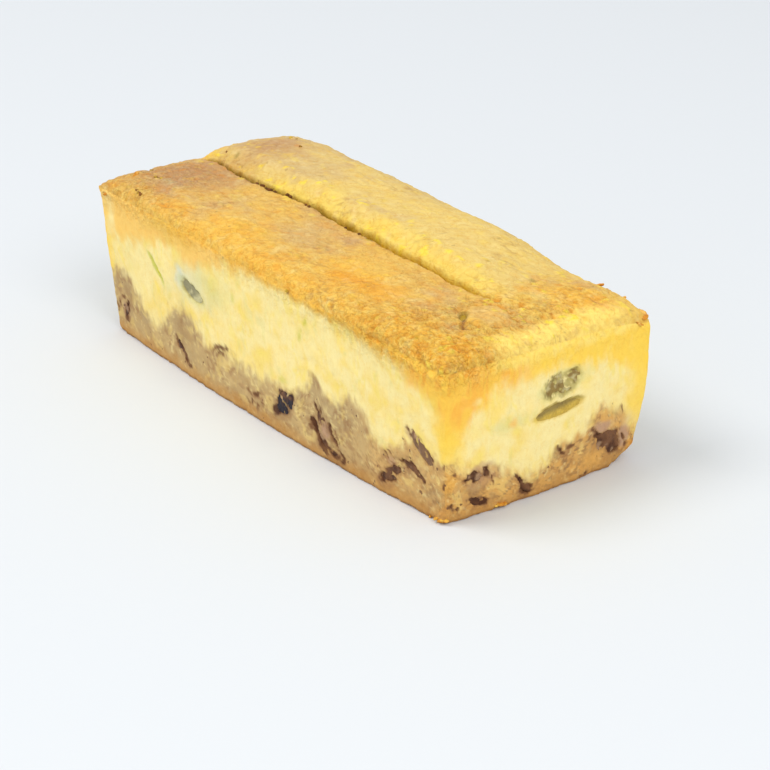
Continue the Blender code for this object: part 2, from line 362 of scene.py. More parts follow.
def makeSkin():
    bpy.ops.object.select_all(action="DESELECT")
    bpy.ops.mesh.primitive_cube_add(size=2, location=(0, 0, 0))
    loaf = bpy.context.object
    loaf.name = "wholeLoaf"
    clearSelection(loaf.data)
    for face in loaf.data.polygons:
        face.select = face.normal.z < -0.9
    editMode(loaf)
    bpy.ops.mesh.select_mode(type="FACE")
    bpy.ops.mesh.delete(type="FACE")
    objectMode()
    for axis, name in enumerate(("cutsAlong", "cutsAcross", "cutsUp")):
        for cuts in loafForm[name]:
            cutAlong(loaf, axis, cuts)
    return loaf


def shapeLoaf(grid):
    u, v, w = grid[:, 0], grid[:, 1], grid[:, 2]
    x = halfLength * u * (1.22 - 0.22 * u * u)
    y = rowAcross(v, x)
    top = w > 0.999
    wall = ~top
    # the top
    beyond = y - lipLine(x)
    gap = np.interp(x, slit["at"], slit["gap"]) + 0.3 * noise(np.stack([x, 0 * x, 0 * x], axis=1), 5, 5)
    strength = (1 - ramp((x - slit["end"][0]) / (slit["end"][1] - slit["end"][0]))) * ramp((halfLength + x - 3) / 6)
    groove = ramp((beyond + 0.15) / 0.45) * (1 - ramp((beyond - gap) / 0.9)) * strength * top
    z = topHeight(x, y)
    z = z - slit["depth"] * groove
    x, y = roundCorners(x, y)
    radius = blend(*loafForm["rimRound"], ramp((x - 58) / 22))
    dropEnd, shiftEnd = roundOff(halfLength - np.abs(x), radius)
    dropSide, shiftSide = roundOff(halfWidth - np.abs(y), radius)
    # the walls: levels under the seam, then levels up to the rim
    levels = int(np.prod(np.array(loafForm["cutsUp"]) + 1))
    level = (w + 1) / 2 * levels
    rim = topHeight(x, y)
    seam = seamHeight(x * 0.98, y * 0.96) / rim
    low = loafForm["seamLevels"]
    edge = loafForm["baseEdge"]
    lowPart = blend(1.6 * edge / rim, seam, np.clip((level - 2) / (low - 2), 0, 1))
    lowPart = np.where(level < 1.5, 0.4 * edge / rim, lowPart)
    lowPart = np.where(level < 0.5, 0, lowPart)
    part = np.where(level <= low, lowPart, blend(seam, 1, (level - low) / (levels - low)))
    inset = loafForm["lean"] * (1 - part) + edge * np.where(level < 0.5, 1, np.where(level < 1.5, 0.4, 0))
    sideU, sideV = x / halfLength, y / halfWidth
    bowX = loafForm["endBow"] * sideU * np.maximum(0, 1 - sideV**2) * (1 - part)
    bowY = loafForm["sideBow"] * sideV * np.maximum(0, 1 - sideU**2) * (1 - part)
    inward, downward = roundOff((1 - part) * rim, radius)
    inward = inward / (radius * (1 - math.cos(math.pi / 4)))
    wallX = sideU * (halfLength - inset) + bowX - np.sign(x) * inward * shiftEnd
    wallY = sideV * (halfWidth - inset) + bowY - np.sign(y) * inward * shiftSide
    atCorner = hill(np.hypot(halfLength - wallX, halfWidth - wallY), 8) * (wallX > 0) * (wallY > 0)
    out = 1.5 * hill(part * rim - 22, 13) - loafForm["knocked"] * (1 - ramp(part * rim / 5.5))
    wallX, wallY = wallX + 0.7 * out * atCorner, wallY + out * atCorner
    topX, topY = x - np.sign(x) * shiftEnd, y - np.sign(y) * shiftSide
    topZ = z - np.maximum(dropEnd, dropSide)
    onRoof = np.stack([topX, topY, topZ], axis=1)
    below = np.stack([wallX, wallY, part * rim - downward], axis=1)
    return np.where(top[:, None], onRoof, below), top, wall, level, groove, beyond


loaf = makeSkin()
grid = getPoints(loaf.data)
points, onTop, onWall, level, groove, beyond = shapeLoaf(grid)
setPoints(loaf.data, points * mm)
print(f"loaf skin shaped, {len(loaf.data.polygons)} faces")


# Where each point of the skin lies: which wall, how far from the rim, how far from the seam

wallOf = np.full(len(points), "top", dtype="<U5")
sideways = np.abs(grid[:, 1]) > 0.999
wallOf[onWall & sideways & (grid[:, 1] < 0)] = "near"
wallOf[onWall & sideways & (grid[:, 1] > 0)] = "far"
wallOf[onWall & ~sideways & (grid[:, 0] > 0)] = "right"
wallOf[onWall & ~sideways & (grid[:, 0] < 0)] = "left"
inFromEdge = np.minimum(halfWidth - np.abs(points[:, 1]), halfLength - np.abs(points[:, 0]))
fromRim = np.where(onTop, inFromEdge, points[:, 2] - rimHeight(points[:, 0], points[:, 1]))
overSeam = points[:, 2] - seamHeight(points[:, 0], points[:, 1])


def wallPlane(wall, p):
    if wall == "top":
        return p[:, :2]
    return p[:, [0, 2]] if wall in ("near", "far") else p[:, [1, 2]]


# Beans and fruit: the outline of each piece in its wall, from the CAD node

def footprint(node):
    corners = getPoints(bpy.data.objects[node].data) / mm
    wall = node.split("_")[2]
    flat = wallPlane(wall, corners)
    axis, sign = {"near": (1, -1), "far": (1, 1), "right": (0, 1), "left": (0, -1), "top": (2, 1)}[wall]
    out = corners[:, axis] * sign
    face = flat[out > out.max() - 1.6]
    middle = face.mean(axis=0)
    turn = np.linalg.svd(face - middle)[2]
    spread = (face - middle) @ turn.T
    low, high = spread.min(axis=0), spread.max(axis=0)
    return {"node": node, "wall": wall, "middle": middle + (low + high) / 2 @ turn, "turn": turn, "half": (high - low) / 2}


def inOutline(outline, p):  # 0 in the middle of the outline, 1 on it
    flat = (wallPlane(outline["wall"], p) - outline["middle"]) @ outline["turn"].T
    return np.hypot(*(flat / outline["half"]).T)


beanNodes = sorted(name for name in frame["nodes"] if name.startswith("red_bean"))
fruitNodes = sorted(name for name in frame["nodes"] if name.startswith("green_fruit"))
outlines = {name: footprint(name) for name in beanNodes + fruitNodes}
print(f"{len(beanNodes)} beans and {len(fruitNodes)} fruit pieces found")


# Dark bean skin smeared along the walls: width and strength, then points as place along and height

smears = {
    "near": [
        (1.0, 1.0, [(-76.8, 12.2), (-77.6, 9.6), (-78.6, 6.2)]),
        (0.8, 0.6, [(-82.2, 11), (-81, 9.2)]),
        (0.7, 0.5, [(-80, 13.2), (-77.8, 13.6)]),
        (0.6, 0.5, [(-84.6, 10), (-83.6, 8.6)]),
        (0.9, 1.0, [(-46, 11.4), (-43.6, 9.4), (-41.2, 6.9), (-38.4, 4.4)]),
        (0.6, 0.7, [(-46.4, 12), (-44.6, 10.4)]),
        (0.9, 0.55, [(-24, 15.4), (-21, 17.2), (-17, 17.8)]),
        (0.6, 0.5, [(-22, 14.6), (-19.4, 15.6)]),
        (0.8, 0.6, [(-2, 8.6), (1.4, 10.6)]),
        (0.9, 0.45, [(-5.8, 8.6), (-4, 7.8)]),
        (0.6, 0.6, [(-3.6, 6.4), (-3.2, 4.6)]),
        (0.9, 0.55, [(-0.6, 5.2), (-1, 2.6)]),
        (0.7, 0.45, [(1.8, 7.2), (2.8, 5.8)]),
        (0.6, 0.4, [(-6, 5.2), (-5.2, 4.4)]),
        (1.6, 1.0, [(9, 7), (11.6, 8.8), (14.8, 10.6)]),
        (0.9, 0.95, [(13, 8.6), (15.6, 11.4), (17.8, 14.4)]),
        (0.8, 0.6, [(11.6, 12.4), (13.8, 14.2), (16.8, 15)]),
        (1.1, 1.0, [(27.6, 11), (29.4, 8), (31.4, 5.2), (33.6, 3.2)]),
        (1.3, 1.0, [(30.4, 6.6), (34.6, 4.8), (38, 3.6), (40.8, 2.8)]),
        (0.7, 0.85, [(29, 16.2), (30.4, 13.6), (30.8, 11)]),
        (0.6, 0.7, [(31.6, 16.6), (31, 14)]),
        (0.7, 0.85, [(35.2, 13), (36.8, 9.6), (38.6, 7), (41.6, 4.2)]),
        (0.5, 0.6, [(26.4, 9.4), (28.4, 7.6)]),
        (0.45, 0.5, [(38.4, 11), (40.2, 8.2)]),
        (1.5, 1.0, [(59.4, 4.6), (61.6, 5.6), (64, 7.4)]),
        (0.9, 0.9, [(63.4, 7.4), (66.4, 9.6), (69, 11)]),
        (0.4, 0.6, [(61.4, 13.8), (63.2, 12), (66, 11.4)]),
        (0.35, 0.5, [(62.6, 15), (65.8, 13.6)]),
        (0.8, 0.9, [(68, 14.4), (71.4, 13.4), (74.4, 12), (77.4, 10.8)]),
        (0.6, 0.7, [(72.6, 14.8), (76, 12.6)]),
        (0.7, 0.7, [(71.4, 25.4), (74, 22.6), (77, 20.2), (80.4, 17.6)]),
        (0.7, 0.6, [(74.6, 25), (78.6, 22), (81.6, 19.4)]),
        (0.7, 0.7, [(86.6, 19.2), (85.8, 17.4)]),
        (0.5, 0.6, [(86.6, 14), (86.2, 12.4)]),
        (0.5, 0.5, [(83.6, 6.4), (84.4, 5)]),
    ],
    "right": [
        (1.0, 0.75, [(-28.6, 13.2), (-25.6, 13.6), (-22.4, 13.4), (-20.4, 12.6)]),
        (0.7, 0.8, [(-28.8, 14.6), (-25, 12.2), (-21, 14.6)]),
        (1.1, 1.0, [(-26.6, 5.8), (-24, 4.6), (-21.6, 3.2)]),
        (0.8, 0.8, [(-33, 5.6), (-31.8, 4.4)]),
        (0.45, 0.7, [(-19, 11.4), (-18, 9)]),
        (0.7, 0.95, [(-10.2, 8.8), (-8.6, 6.6), (-7.2, 4)]),
        (1.3, 1.0, [(-7.6, 4), (-5.4, 3)]),
        (1.2, 1.0, [(18, 12.4), (20.8, 11.2), (24, 11.6), (27.4, 11.4)]),
        (2.0, 1.0, [(22, 10), (25.4, 9), (26.4, 6.4)]),
        (0.8, 0.75, [(17.4, 15.4), (19, 13.4)]),
        (0.7, 0.7, [(30, 9.6), (31.4, 7.6), (31.6, 5.6)]),
        (0.6, 0.75, [(4, 13.2), (5.8, 11.4), (7, 10.8)]),
        (0.6, 0.55, [(8.4, 12.4), (10, 12.2)]),
        (0.7, 0.7, [(12.4, 1), (16, 1.6)]),
        (0.5, 0.45, [(28, 19.4), (29, 17.6)]),
        (0.5, 0.5, [(-33, 16.6), (-32, 15.6)]),
    ],
}


def looseSmears(name, seed):  # a few strands along a bean on a wall with no drawn ones
    outline = outlines[name]
    luck = np.random.default_rng(seed)
    strands = []
    for _ in range(5):
        across = luck.uniform(-0.75, 0.75) * outline["half"][1]
        start, end = sorted(luck.uniform(-1.15, 1.15, 2) * outline["half"][0])
        flat = np.array([(start, across), ((start + end) / 2, across * luck.uniform(0.3, 1.2)), (end, across * luck.uniform(0.2, 1))])
        line = outline["middle"] + flat @ outline["turn"]
        strands.append((luck.uniform(0.6, 1.3), luck.uniform(0.7, 1.0), [tuple(point) for point in line]))
    return strands


for number, name in enumerate(beanNodes):
    if outlines[name]["wall"] in ("far", "left"):
        smears.setdefault(outlines[name]["wall"], []).extend(looseSmears(name, 40 + number))


def lineDistance(p, line):
    nearest = np.full(len(p), 1e9)
    for start, end in zip(line[:-1], line[1:]):
        start, end = np.array(start, float), np.array(end, float)
        run = end - start
        along = np.clip(((p - start) @ run) / (run @ run), 0, 1)
        nearest = np.minimum(nearest, np.linalg.norm(p - start - along[:, None] * run, axis=1))
    return nearest


# How dark each bean is filled in between its strands
beanFill = {
    "red_bean_near_1": 0.25, "red_bean_near_2": 0.6, "red_bean_near_3": 0.9, "red_bean_near_4": 0.35, "red_bean_near_5": 0.65,
    "red_bean_near_6": 0.6, "red_bean_near_7": 0.3, "red_bean_right_1": 0.52, "red_bean_right_4": 0.4, "red_bean_right_5": 0.5,
}


def smearStrength(p, grow=1.0):
    frayed = warped(warped(p, 3.0, 0.7, 130), 1.3, 0.5, 140)
    strength = np.zeros(len(p))
    for wall, strands in smears.items():
        here = np.where(wallOf == wall)[0]
        flat = wallPlane(wall, frayed[here])
        for width, amount, line in strands:
            distance = lineDistance(flat, line) / (1.35 * width * grow)
            strength[here] = np.maximum(strength[here], amount * (1 - ramp((distance - 0.3) / 0.8)))
    for name in beanNodes:
        spot = inOutline(outlines[name], frayed)
        filled = (wallOf == outlines[name]["wall"]) * (1 - ramp((spot - 0.6 * grow) / 0.4))
        strength = np.maximum(strength, beanFill.get(name, 0.65) * filled)
    return strength


coverNoise = noise(warped(points, 3, 0.8, 90), (2.2, 2.2, 3.0), 91, 2)
fineNoise = noise(warped(points, 2, 0.8, 95), 1.5, 96, 2)
smear = smearStrength(points) * ramp(0.8 + 0.5 * coverNoise + 0.6 * fineNoise)

# How each piece shows: how ragged its outline is in mm, how much crumb lies over it, how deep
# the skin sinks there, and how much of its outline is open
pieceShow = {
    "red_bean": (0.9, 0.45, 0.5, 0.84),
    "green_fruit": (0.6, 0.25, 0.6, 0.84),
    "green_fruit_near_1": (1.0, 0.2, 0.6, 0.84),
    "green_fruit_near_2": (0.25, 0.0, 0.15, 1.05),
    "green_fruit_right_1": (2.2, 0.6, 0.45, 0.8),
    "green_fruit_right_2": (0.8, 0.0, 0.3, 0.9),
    "green_fruit_top_1": (0.5, 0.0, 1.5, 0.75),
}


def showOf(name):
    return pieceShow.get(name, pieceShow["_".join(name.split("_")[:2])])


def openness(name):
    outline = outlines[name]
    ragged, cover, depth, width = showOf(name)
    spot = inOutline(outline, warped(points, 3.2, ragged, 100))
    here = (wallOf == outline["wall"]).astype(float)
    inside = here * (1 - ramp((spot - width) / 0.3))
    if name.startswith("red_bean"):
        return inside * ramp((smear - 0.35) / 0.4), spot
    if cover:
        inside = inside * ramp(1.15 - cover + 0.5 * coverNoise + 0.9 * fineNoise)
    return inside, spot


# Relief: everything that stands proud of the plain form or sinks into it, in mm along the normal

relief = {
    "wallBroad": 0.25,
    "wallBlotch": 0.10,
    "wallGrain": 0.07,
    "wallFibre": 0.08,
    "crustBroad": 0.4,
    "crustFolds": 0.24,
    "crustGrain": 0.14,
    "crustCrumbs": 0.46,
    # x, y, z, radius and depth of pits, depth below 0 for a lump
    "pits": [
        (88.7, -21.4, 46.6, 2.0, 0.9), (88.7, 18.9, 43.5, 0.9, 0.9), (64.7, 0.2, 52, 1.6, 0.9), (58.6, -5.4, 52, 1.5, 0.7),
        (78.7, 5.4, 51.5, 1.6, 1.0), (82, 6, 51, 1.3, 0.9), (81.9, 13, 51, 1.4, 0.8), (86.3, 13.3, 49, 1.2, 0.7),
        (66.3, 21.3, 52.5, 1.2, 0.6), (36.4, 25.3, 55.6, 0.9, 0.6), (60, 17.7, 53, 1.8, 0.5), (88.8, -11.9, 46.4, 0.9, 0.6),
        (-71.7, 4.3, 54.7, 1.5, 0.7), (-47, 17.9, 57.4, 0.8, 0.4), (-35, 10.8, 57.4, 0.8, 0.4), (-73.4, -24.3, 53.3, 1.3, 0.5),
        (-68.6, -35.2, 51.8, 1.4, -0.8), (-67.0, -36.2, 51.1, 1.1, -0.6), (-72.1, 26.6, 56, 1.4, -0.7), (7.4, -1.6, 53, 2.0, 0.7),
        (62.8, -2.8, 52, 1.0, 0.7), (72.6, 2.4, 52, 1.1, 0.7), (84, 20, 49.5, 1.1, 0.6), (46, 12, 54, 0.9, 0.4),
        (-81, -28, 50.5, 1.6, -0.7), (88.6, 5.5, 44.5, 0.8, 0.5), (88.7, -30.5, 40, 1.0, 0.4), (15, 6, 54.5, 0.8, 0.4),
        (75.4, 11.6, 51.6, 0.9, 0.6), (78.6, 17.4, 51, 1.0, 0.7), (84.4, 17.0, 50, 0.8, 0.5), (72.4, 24.4, 52, 1.0, 0.6),
        (70.4, 7.4, 52, 0.8, 0.5), (85.4, -8.4, 49.6, 0.9, 0.6), (84.2, -1.2, 49.8, 0.8, 0.5), (79.8, 26.8, 50, 0.9, 0.6),
    ],
    # lines on the skin: width, depth, then the points
    "cracks": [
        (0.8, 0.45, [(54.6, -37.7, 47.4), (61.1, -37.7, 48), (67.2, -37, 49.4), (75.2, -36.6, 49), (81.3, -36.8, 46.6), (88, -37, 45.9)]),
        (0.6, 0.5, [(-60, -35.6, 51.7), (-57.6, -35.1, 51.7), (-54, -34, 52), (-52.1, -33.8, 52.1)]),
        (0.6, 0.5, [(-50.5, -31, 52.8), (-48, -29.6, 52.8), (-45.7, -29.9, 52.8), (-43, -28.5, 52.8)]),
        (0.5, 0.35, [(-66, -30, 52.4), (-62, -28.6, 52.8), (-58, -28.4, 52.8)]),
        (0.9, 1.1, [(66.5, -13.2, 52), (69, -15.6, 52), (72, -18, 52), (75, -19.4, 52)]),
        (0.6, 0.5, [(66.5, -13.2, 52), (64.2, -9.6, 52), (63, -6.0, 52), (64.0, -2.8, 52)]),
        (0.5, 0.3, [(64.0, -2.8, 52), (69, -1.8, 52), (74, -4.5, 52), (77.6, -9, 52), (78.0, -14, 52), (76.5, -18.5, 52)]),
        (0.5, 0.35, [(70, 27, 50.5), (75, 24, 51), (80, 23, 50)]),
        (0.45, 0.3, [(62, -24, 52.3), (67, -26.4, 52), (71, -25, 52)]),
    ],
    "blister": (71.0, -9.6, 7.8, 0.5),
    # walls and reach of the thin lip that overhangs the rim: middle, reach, how far out
    "lips": [
        ((74, 37, 47), (22, 9, 3.2), 0.55), ((88, 34, 44.5), (6, 8, 3.4), 0.7), ((-87, -34, 46), (7, 10, 4.4), 0.95),
        ((-88, 20, 48), (6, 22, 2.6), 0.5), ((-20, 38, 48), (60, 6, 2.2), 0.5), ((20, -38, 48.6), (56, 6, 2.4), 0.6),
    ],
}


crumbly = noise(warped(points, 2.2, 0.8, 80), 1.5, 17, 2)


def blisterEdge(p):  # how far outside the edge of the blister a point lies, and how high the blister stands
    x, y, radius, rise = relief["blister"]
    return np.hypot(p[:, 0] - x, p[:, 1] - y) - radius, rise


def makeCreases(p):  # short folds in the skin, from 0 to 1
    wrinkle = 1 - 2 * np.abs(noise(warped(p, 4, 2.0, 280), (7, 2.4, 5), 281, 2))
    return onTop * ramp((wrinkle - 0.74) / 0.22) * ramp(0.35 + noise(p, 10, 282))


creases = makeCreases(points)
flakes = onTop * ramp((noise(warped(points, 2, 1.0, 290), (3.0, 1.8, 3.0), 291, 2) - 0.55) / 0.16)


def crustRoughness(p):  # the skin is crumbly at the near right corner and along the rim, and smooth on the hump
    x, y = p[:, 0], p[:, 1]
    corner = ramp((x - 0.8 * y - 58) / 34)
    band = hill(fromRim, 7) * ramp((-y - 12) / 14)
    spots = ramp(0.3 + noise(p, 11, 300)) * ramp((x + 20) / 60) * (1 - ramp((beyond + 1) / 3) * onTop)
    hump = onTop * ramp((beyond - 1.5) / 3) * (1 - ramp((x - 52) / 22))
    ends = 0.24 * ramp((x - 54) / 10) + 0.32 * ramp((-x - 52) / 14) * ramp((-y - 2) / 10)
    rough = np.clip(0.28 + 0.7 * corner + 0.2 * band + 0.22 * spots - 0.2 * hump + ends, 0, 1)
    rough = rough * (1 - 0.75 * ramp((x - 80) / 5) * ramp((y + 24) / 12))
    rough = rough * (1 - 0.6 * onTop * (1 - ramp((blisterEdge(p)[0] + 2) / 2)))
    rough = rough * np.where(onTop, 1, ramp(1 + (fromRim + 1) / 9))
    return rough + 0.5 * onWall * hill(np.hypot(x - 87, y + 37), 6) * (1 - ramp((p[:, 2] - 8) / 10))


def skinRelief(p):
    push = np.zeros(len(p))
    wall = onWall.astype(float)
    crust = 1 - wall
    push += wall * relief["wallBroad"] * noise(p, 12, 11)
    push += wall * relief["wallBlotch"] * noise(warped(p, 4, 1.2, 30), 3.2, 19, 2)
    push += wall * relief["wallGrain"] * noise(p, 1.3, 12, 2)
    push += wall * relief["wallFibre"] * noise(warped(p, 6, 0.9, 40), (1.4, 1.4, 7), 13, 2)
    push += crust * relief["crustBroad"] * noise(p, 15, 14)
    folds = 1 - 2 * np.abs(noise(warped(p, 8, 3, 50), (9, 4.5, 9), 15, 2))
    push += crust * relief["crustFolds"] * folds
    push += crust * relief["crustGrain"] * noise(p, 1.5, 16, 2)
    push += roughness * relief["crustCrumbs"] * np.minimum(crumbly, 0.45)
    # the torn far wall of the slit
    torn = crust * ramp((beyond + 0.2) / 0.8) * (1 - ramp((beyond - 5) / 4)) * (1 - ramp((p[:, 0] - 58) / 12))
    push += torn * 0.45 * noise(warped(p, 4, 1.6, 60), (3.4, 1.8, 2.2), 18, 2)
    push += 0.22 * flakes - 0.16 * creases
    near = warped(p, 2.2, 0.45, 70)
    for x, y, z, radius, depth in relief["pits"]:
        distance = np.linalg.norm(near - (x, y, z), axis=1) / radius
        push -= depth * (1 - ramp(distance / 1.1)) - 0.18 * abs(depth) * hill(distance - 1.5, 0.4)
    for width, depth, line in relief["cracks"]:
        push -= depth * hill(lineDistance(near, line), width)
    out, rise = blisterEdge(near)
    push += crust * rise * (1 - ramp((out + 1.8) / 1.6)) - 0.45 * crust * hill(out, 0.6) * ramp(0.9 + coverNoise)
    ragged = 0.6 + 0.8 * noise(warped(p, 3, 1, 150), (2.6, 2.6, 2.2), 151, 2)
    for middle, reach, out in relief["lips"]:
        spread = np.linalg.norm((near - middle) / np.array(reach), axis=1)
        atRim = hill(fromRim + 0.6 + 0.5 * coverNoise, 1.3)
        push += out * atRim * ragged * (1 - ramp((spread - 0.6) / 0.6))
    return push


normals = getNormals(loaf.data)
roughness = crustRoughness(points)
push = skinRelief(points)
pieceOpen = {}
for name in beanNodes + fruitNodes:
    shown, spot = openness(name)
    pieceOpen[name] = shown
    push = push * (1 - 0.6 * shown) - showOf(name)[2] * shown
push -= 0.12 * smear * onWall
# the base edge is ragged, and nothing goes under the floor
lowEdge = onWall * hill(points[:, 2], 2.2)
push += lowEdge * (0.3 * noise(points, 2.6, 120, 2) + 0.15 * noise(points, 1.1, 121))
relieved = points + normals * push[:, None]
relieved[level == 0, 2] = 0
relieved[:, 2] = np.maximum(relieved[:, 2], 0)
setPoints(loaf.data, relieved * mm)
print("relief pressed into the skin")


# Colour: a palette of bakes, painted on the skin with frayed edges

bakes = {
    "paleTan": (212, 175, 108), "greyTan": (196, 160, 116), "pinkTan": (212, 166, 106), "golden": (234, 190, 84),
    "orange": (238, 181, 64), "deepOrange": (226, 152, 42), "humpPale": (212, 183, 121), "humpGold": (226, 197, 115),
    "leftTan": (190, 146, 98), "goldTan": (236, 192, 104), "amber": (250, 186, 74), "lemon": (247, 222, 106),
    "paleBlue": (212, 218, 196), "slitYellow": (234, 206, 96), "slitDeep": (212, 168, 22),
    "slitBrown": (96, 64, 28), "rimYellow": (253, 222, 118), "cream": (249, 230, 160), "crumb": (248, 220, 132),
    "strongYellow": (252, 212, 84), "peach": (246, 196, 104), "halo": (222, 217, 176), "paleGreen": (214, 210, 140),
    "leafGreen": (190, 190, 44), "brown": (132, 80, 40), "tan": (190, 160, 110), "tanLight": (205, 175, 120),
    "tanDark": (160, 124, 80), "tanGrey": (180, 155, 112), "tanRed": (146, 100, 66), "tanGold": (224, 169, 88),
    "tanPink": (200, 156, 114), "baseGold": (194, 142, 74), "burnt": (208, 134, 40), "bean": (80, 44, 24),
    "beanRed": (128, 88, 56), "beanBlue": (46, 38, 44), "mauve": (190, 152, 124), "olive": (150, 130, 60),
    "oliveDark": (112, 92, 46), "gold": (206, 172, 62), "bleed": (252, 206, 110), "slitBright": (240, 214, 76), "pitOrange": (216, 140, 34),
    "bandYellow": (253, 208, 72),
}
bakes = {name: tint(*value) for name, value in bakes.items()}


def mixIn(colour, name, amount):
    amount = np.clip(amount, 0, 1)[:, None]
    return colour * (1 - amount) + bakes[name] * amount


# what is painted where: bake, middle, reach and strength
topSpots = [
    ("leftTan", (-70, -14, 52), (30, 30, 9), 1.0),
    ("leftTan", (-80, -22, 51), (14, 12, 9), 0.6),
    ("greyTan", (-66, -20, 52), (12, 8, 9), 0.7),
    ("tanRed", (-66, -20, 53), (9, 6, 9), 0.2),
    ("orange", (-57, -26, 52), (6, 3.2, 9), 0.4),
    ("paleTan", (-41, -31, 52), (8, 6, 9), 0.5),
    ("greyTan", (-62, -28, 52), (7, 4, 9), 0.9),
    ("golden", (-66, -42, 50), (34, 17, 9), 0.75),
    ("greyTan", (-42, -20, 52), (6, 18, 9), 0.4),
    ("golden", (-20, -27, 52), (24, 11, 9), 0.9),
    ("orange", (-24, -29, 52), (18, 8, 9), 0.6),
    ("pinkTan", (2, -6, 52), (11, 8, 9), 0.6),
    ("tanRed", (4, -7, 52), (6, 4, 9), 0.25),
    ("paleTan", (-4, -17, 52), (14, 12, 9), 0.8),
    ("greyTan", (4, -7, 52), (6, 5, 9), 0.5),
    ("golden", (32, -21, 52), (32, 15, 9), 0.95),
    ("orange", (32, -23, 52), (24, 11, 9), 0.85),
    ("deepOrange", (29, -24, 52), (10, 6, 9), 0.65),
    ("deepOrange", (42, -22, 52), (12, 8, 9), 0.4),
    ("deepOrange", (62, -23, 52), (9, 6, 9), 0.5),
    ("orange", (20, -16, 52), (9, 5, 9), 0.4),
    ("pinkTan", (51, -11, 52), (9, 5, 9), 0.5),
    ("golden", (62, -24, 52), (18, 12, 9), 0.7),
    ("pinkTan", (56, -21, 52), (8, 6, 9), 0.6),
    ("orange", (62, -28, 52), (16, 8, 9), 0.6),
    ("greyTan", (73, -24, 51), (8, 5, 9), 0.55),
    ("orange", (82, -28, 50), (10, 10, 9), 0.95),
    ("deepOrange", (82, -27, 50), (6, 5, 9), 0.4),
        ("goldTan", (71, -9, 52), (8, 8, 9), 0.8),
    ("paleTan", (62, 19, 52), (10, 11, 9), 0.5),
    ("golden", (67, 12, 52), (9, 7, 9), 0.6),
    ("deepOrange", (66, 12, 52), (5, 6, 9), 0.55),
    ("deepOrange", (60, 19, 52), (5, 3, 9), 0.45),
    ("orange", (76, 20, 50), (14, 15, 9), 0.75),
    ("deepOrange", (82, 23, 50), (7, 6, 9), 0.55),
    ("orange", (82, 9, 50), (7, 8, 9), 0.6),
    ("pinkTan", (70, 29, 50), (8, 6, 9), 0.6),
    ("orange", (76, 15, 52), (9, 10, 9), 0.45),
    ("leftTan", (-68, 16, 56), (20, 18, 9), 0.85),
    ("greyTan", (-70, 20, 56), (9, 8, 9), 0.5),
    ("golden", (-84, 6, 51), (5, 10, 9), 0.6),
    ("humpPale", (-40, 16, 57), (16, 12, 9), 0.6),
    ("greyTan", (-38, 23, 57), (7, 4, 9), 0.5),
    ("tanGrey", (-68.5, -24, 53.3), (3.4, 1.8, 3), 0.8),
    ("brown", (-60, 1.5, 56), (1.6, 0.9, 3), 0.7),
    ("burnt", (-62.2, 21.6, 57.4), (2.4, 1.7, 2), 0.6),
]

wallSpots = [
    ("golden", (-48, -38, 47.5), (24, 6, 7), 0.75),
    ("orange", (-40, -38, 48), (14, 5, 4), 0.5),
    ("peach", (-36, -38, 40), (8, 5, 3.5), 0.6),
    ("peach", (-55, -38, 43), (8, 5, 4), 0.5),
    ("golden", (-88, -37, 30), (2, 4, 2.5), 0.8),
    ("cream", (-83, -38, 41), (6, 5, 9), 0.8),
    ("orange", (-89.6, -38, 46), (3.0, 4, 7), 0.9),
    ("strongYellow", (-87, -37, 30), (4, 5, 18), 0.7),
    ("halo", (-36, -38, 32), (17, 6, 10), 0.7),
    ("paleBlue", (-42, -38, 33), (5, 4, 5), 0.8),
    ("paleGreen", (-24, -38, 35), (16, 6, 9), 0.5),
    ("cream", (-66, -38, 27), (14, 6, 12), 0.7),
    ("leafGreen", (24.4, -38, 41), (2.2, 4, 1.8), 0.4),
    ("leafGreen", (21.6, -38, 36), (1.4, 4, 3.8), 0.3),
    ("leafGreen", (13, -38, 18.5), (3, 4, 1.6), 0.4),
    ("leafGreen", (-12.6, -38, 36), (1.6, 4, 2.6), 0.4),
    ("amber", (80, -38, 43), (13, 6, 7), 0.85),
    ("strongYellow", (87, -37, 28), (6, 5, 12), 0.6),
    ("brown", (16.8, -38, 47.4), (1.4, 4, 0.8), 0.7),
    # the right end
    ("amber", (88, -37, 39), (6, 14, 12), 1.0),
    ("strongYellow", (88, -20, 34), (5, 9, 7), 0.4),
    ("orange", (88.5, -34, 43), (3, 7, 4), 0.5),
    ("strongYellow", (88, -35, 25), (6, 8, 11), 0.8),
    ("strongYellow", (88, 33, 38), (6, 8, 14), 0.5),
    ("strongYellow", (88, 34, 24), (6, 7, 14), 0.7),
    ("cream", (88, 16, 26), (5, 12, 12), 0.5),
    ("paleGreen", (88, -15, 25), (5, 9, 4.5), 0.5),
    ("peach", (88, -12.6, 26), (4, 2.0, 2.2), 0.9),
    ("burnt", (86, 34, 3), (6, 5, 5), 0.9),
    ("amber", (88, -36.6, 12), (5, 6, 10), 0.45),
    ("burnt", (88, -37, 8), (3, 4, 7), 0.5),
    ("burnt", (87, -37, 5), (5, 6, 5), 0.7),
    ("tanDark", (87, -24.6, 9), (4, 5, 3.4), 0.75),
    ("tanLight", (50, -38, 12), (7, 5, 6), 0.7),
    ("tanLight", (75, -38, 14), (5, 5, 5), 0.5),
    ("tanDark", (-75, -38, 14.9), (7, 5, 7), 0.5),
    ("tanDark", (-41, -38, 14.9), (7, 5, 7), 0.45),
    ("tanGold", (87, 18, 6), (5, 9, 5), 0.8),
    ("tanPink", (86, 25, 15), (8, 9, 7), 0.75),
    ("tanPink", (86, -23, 12), (8, 8, 5), 0.5),
]

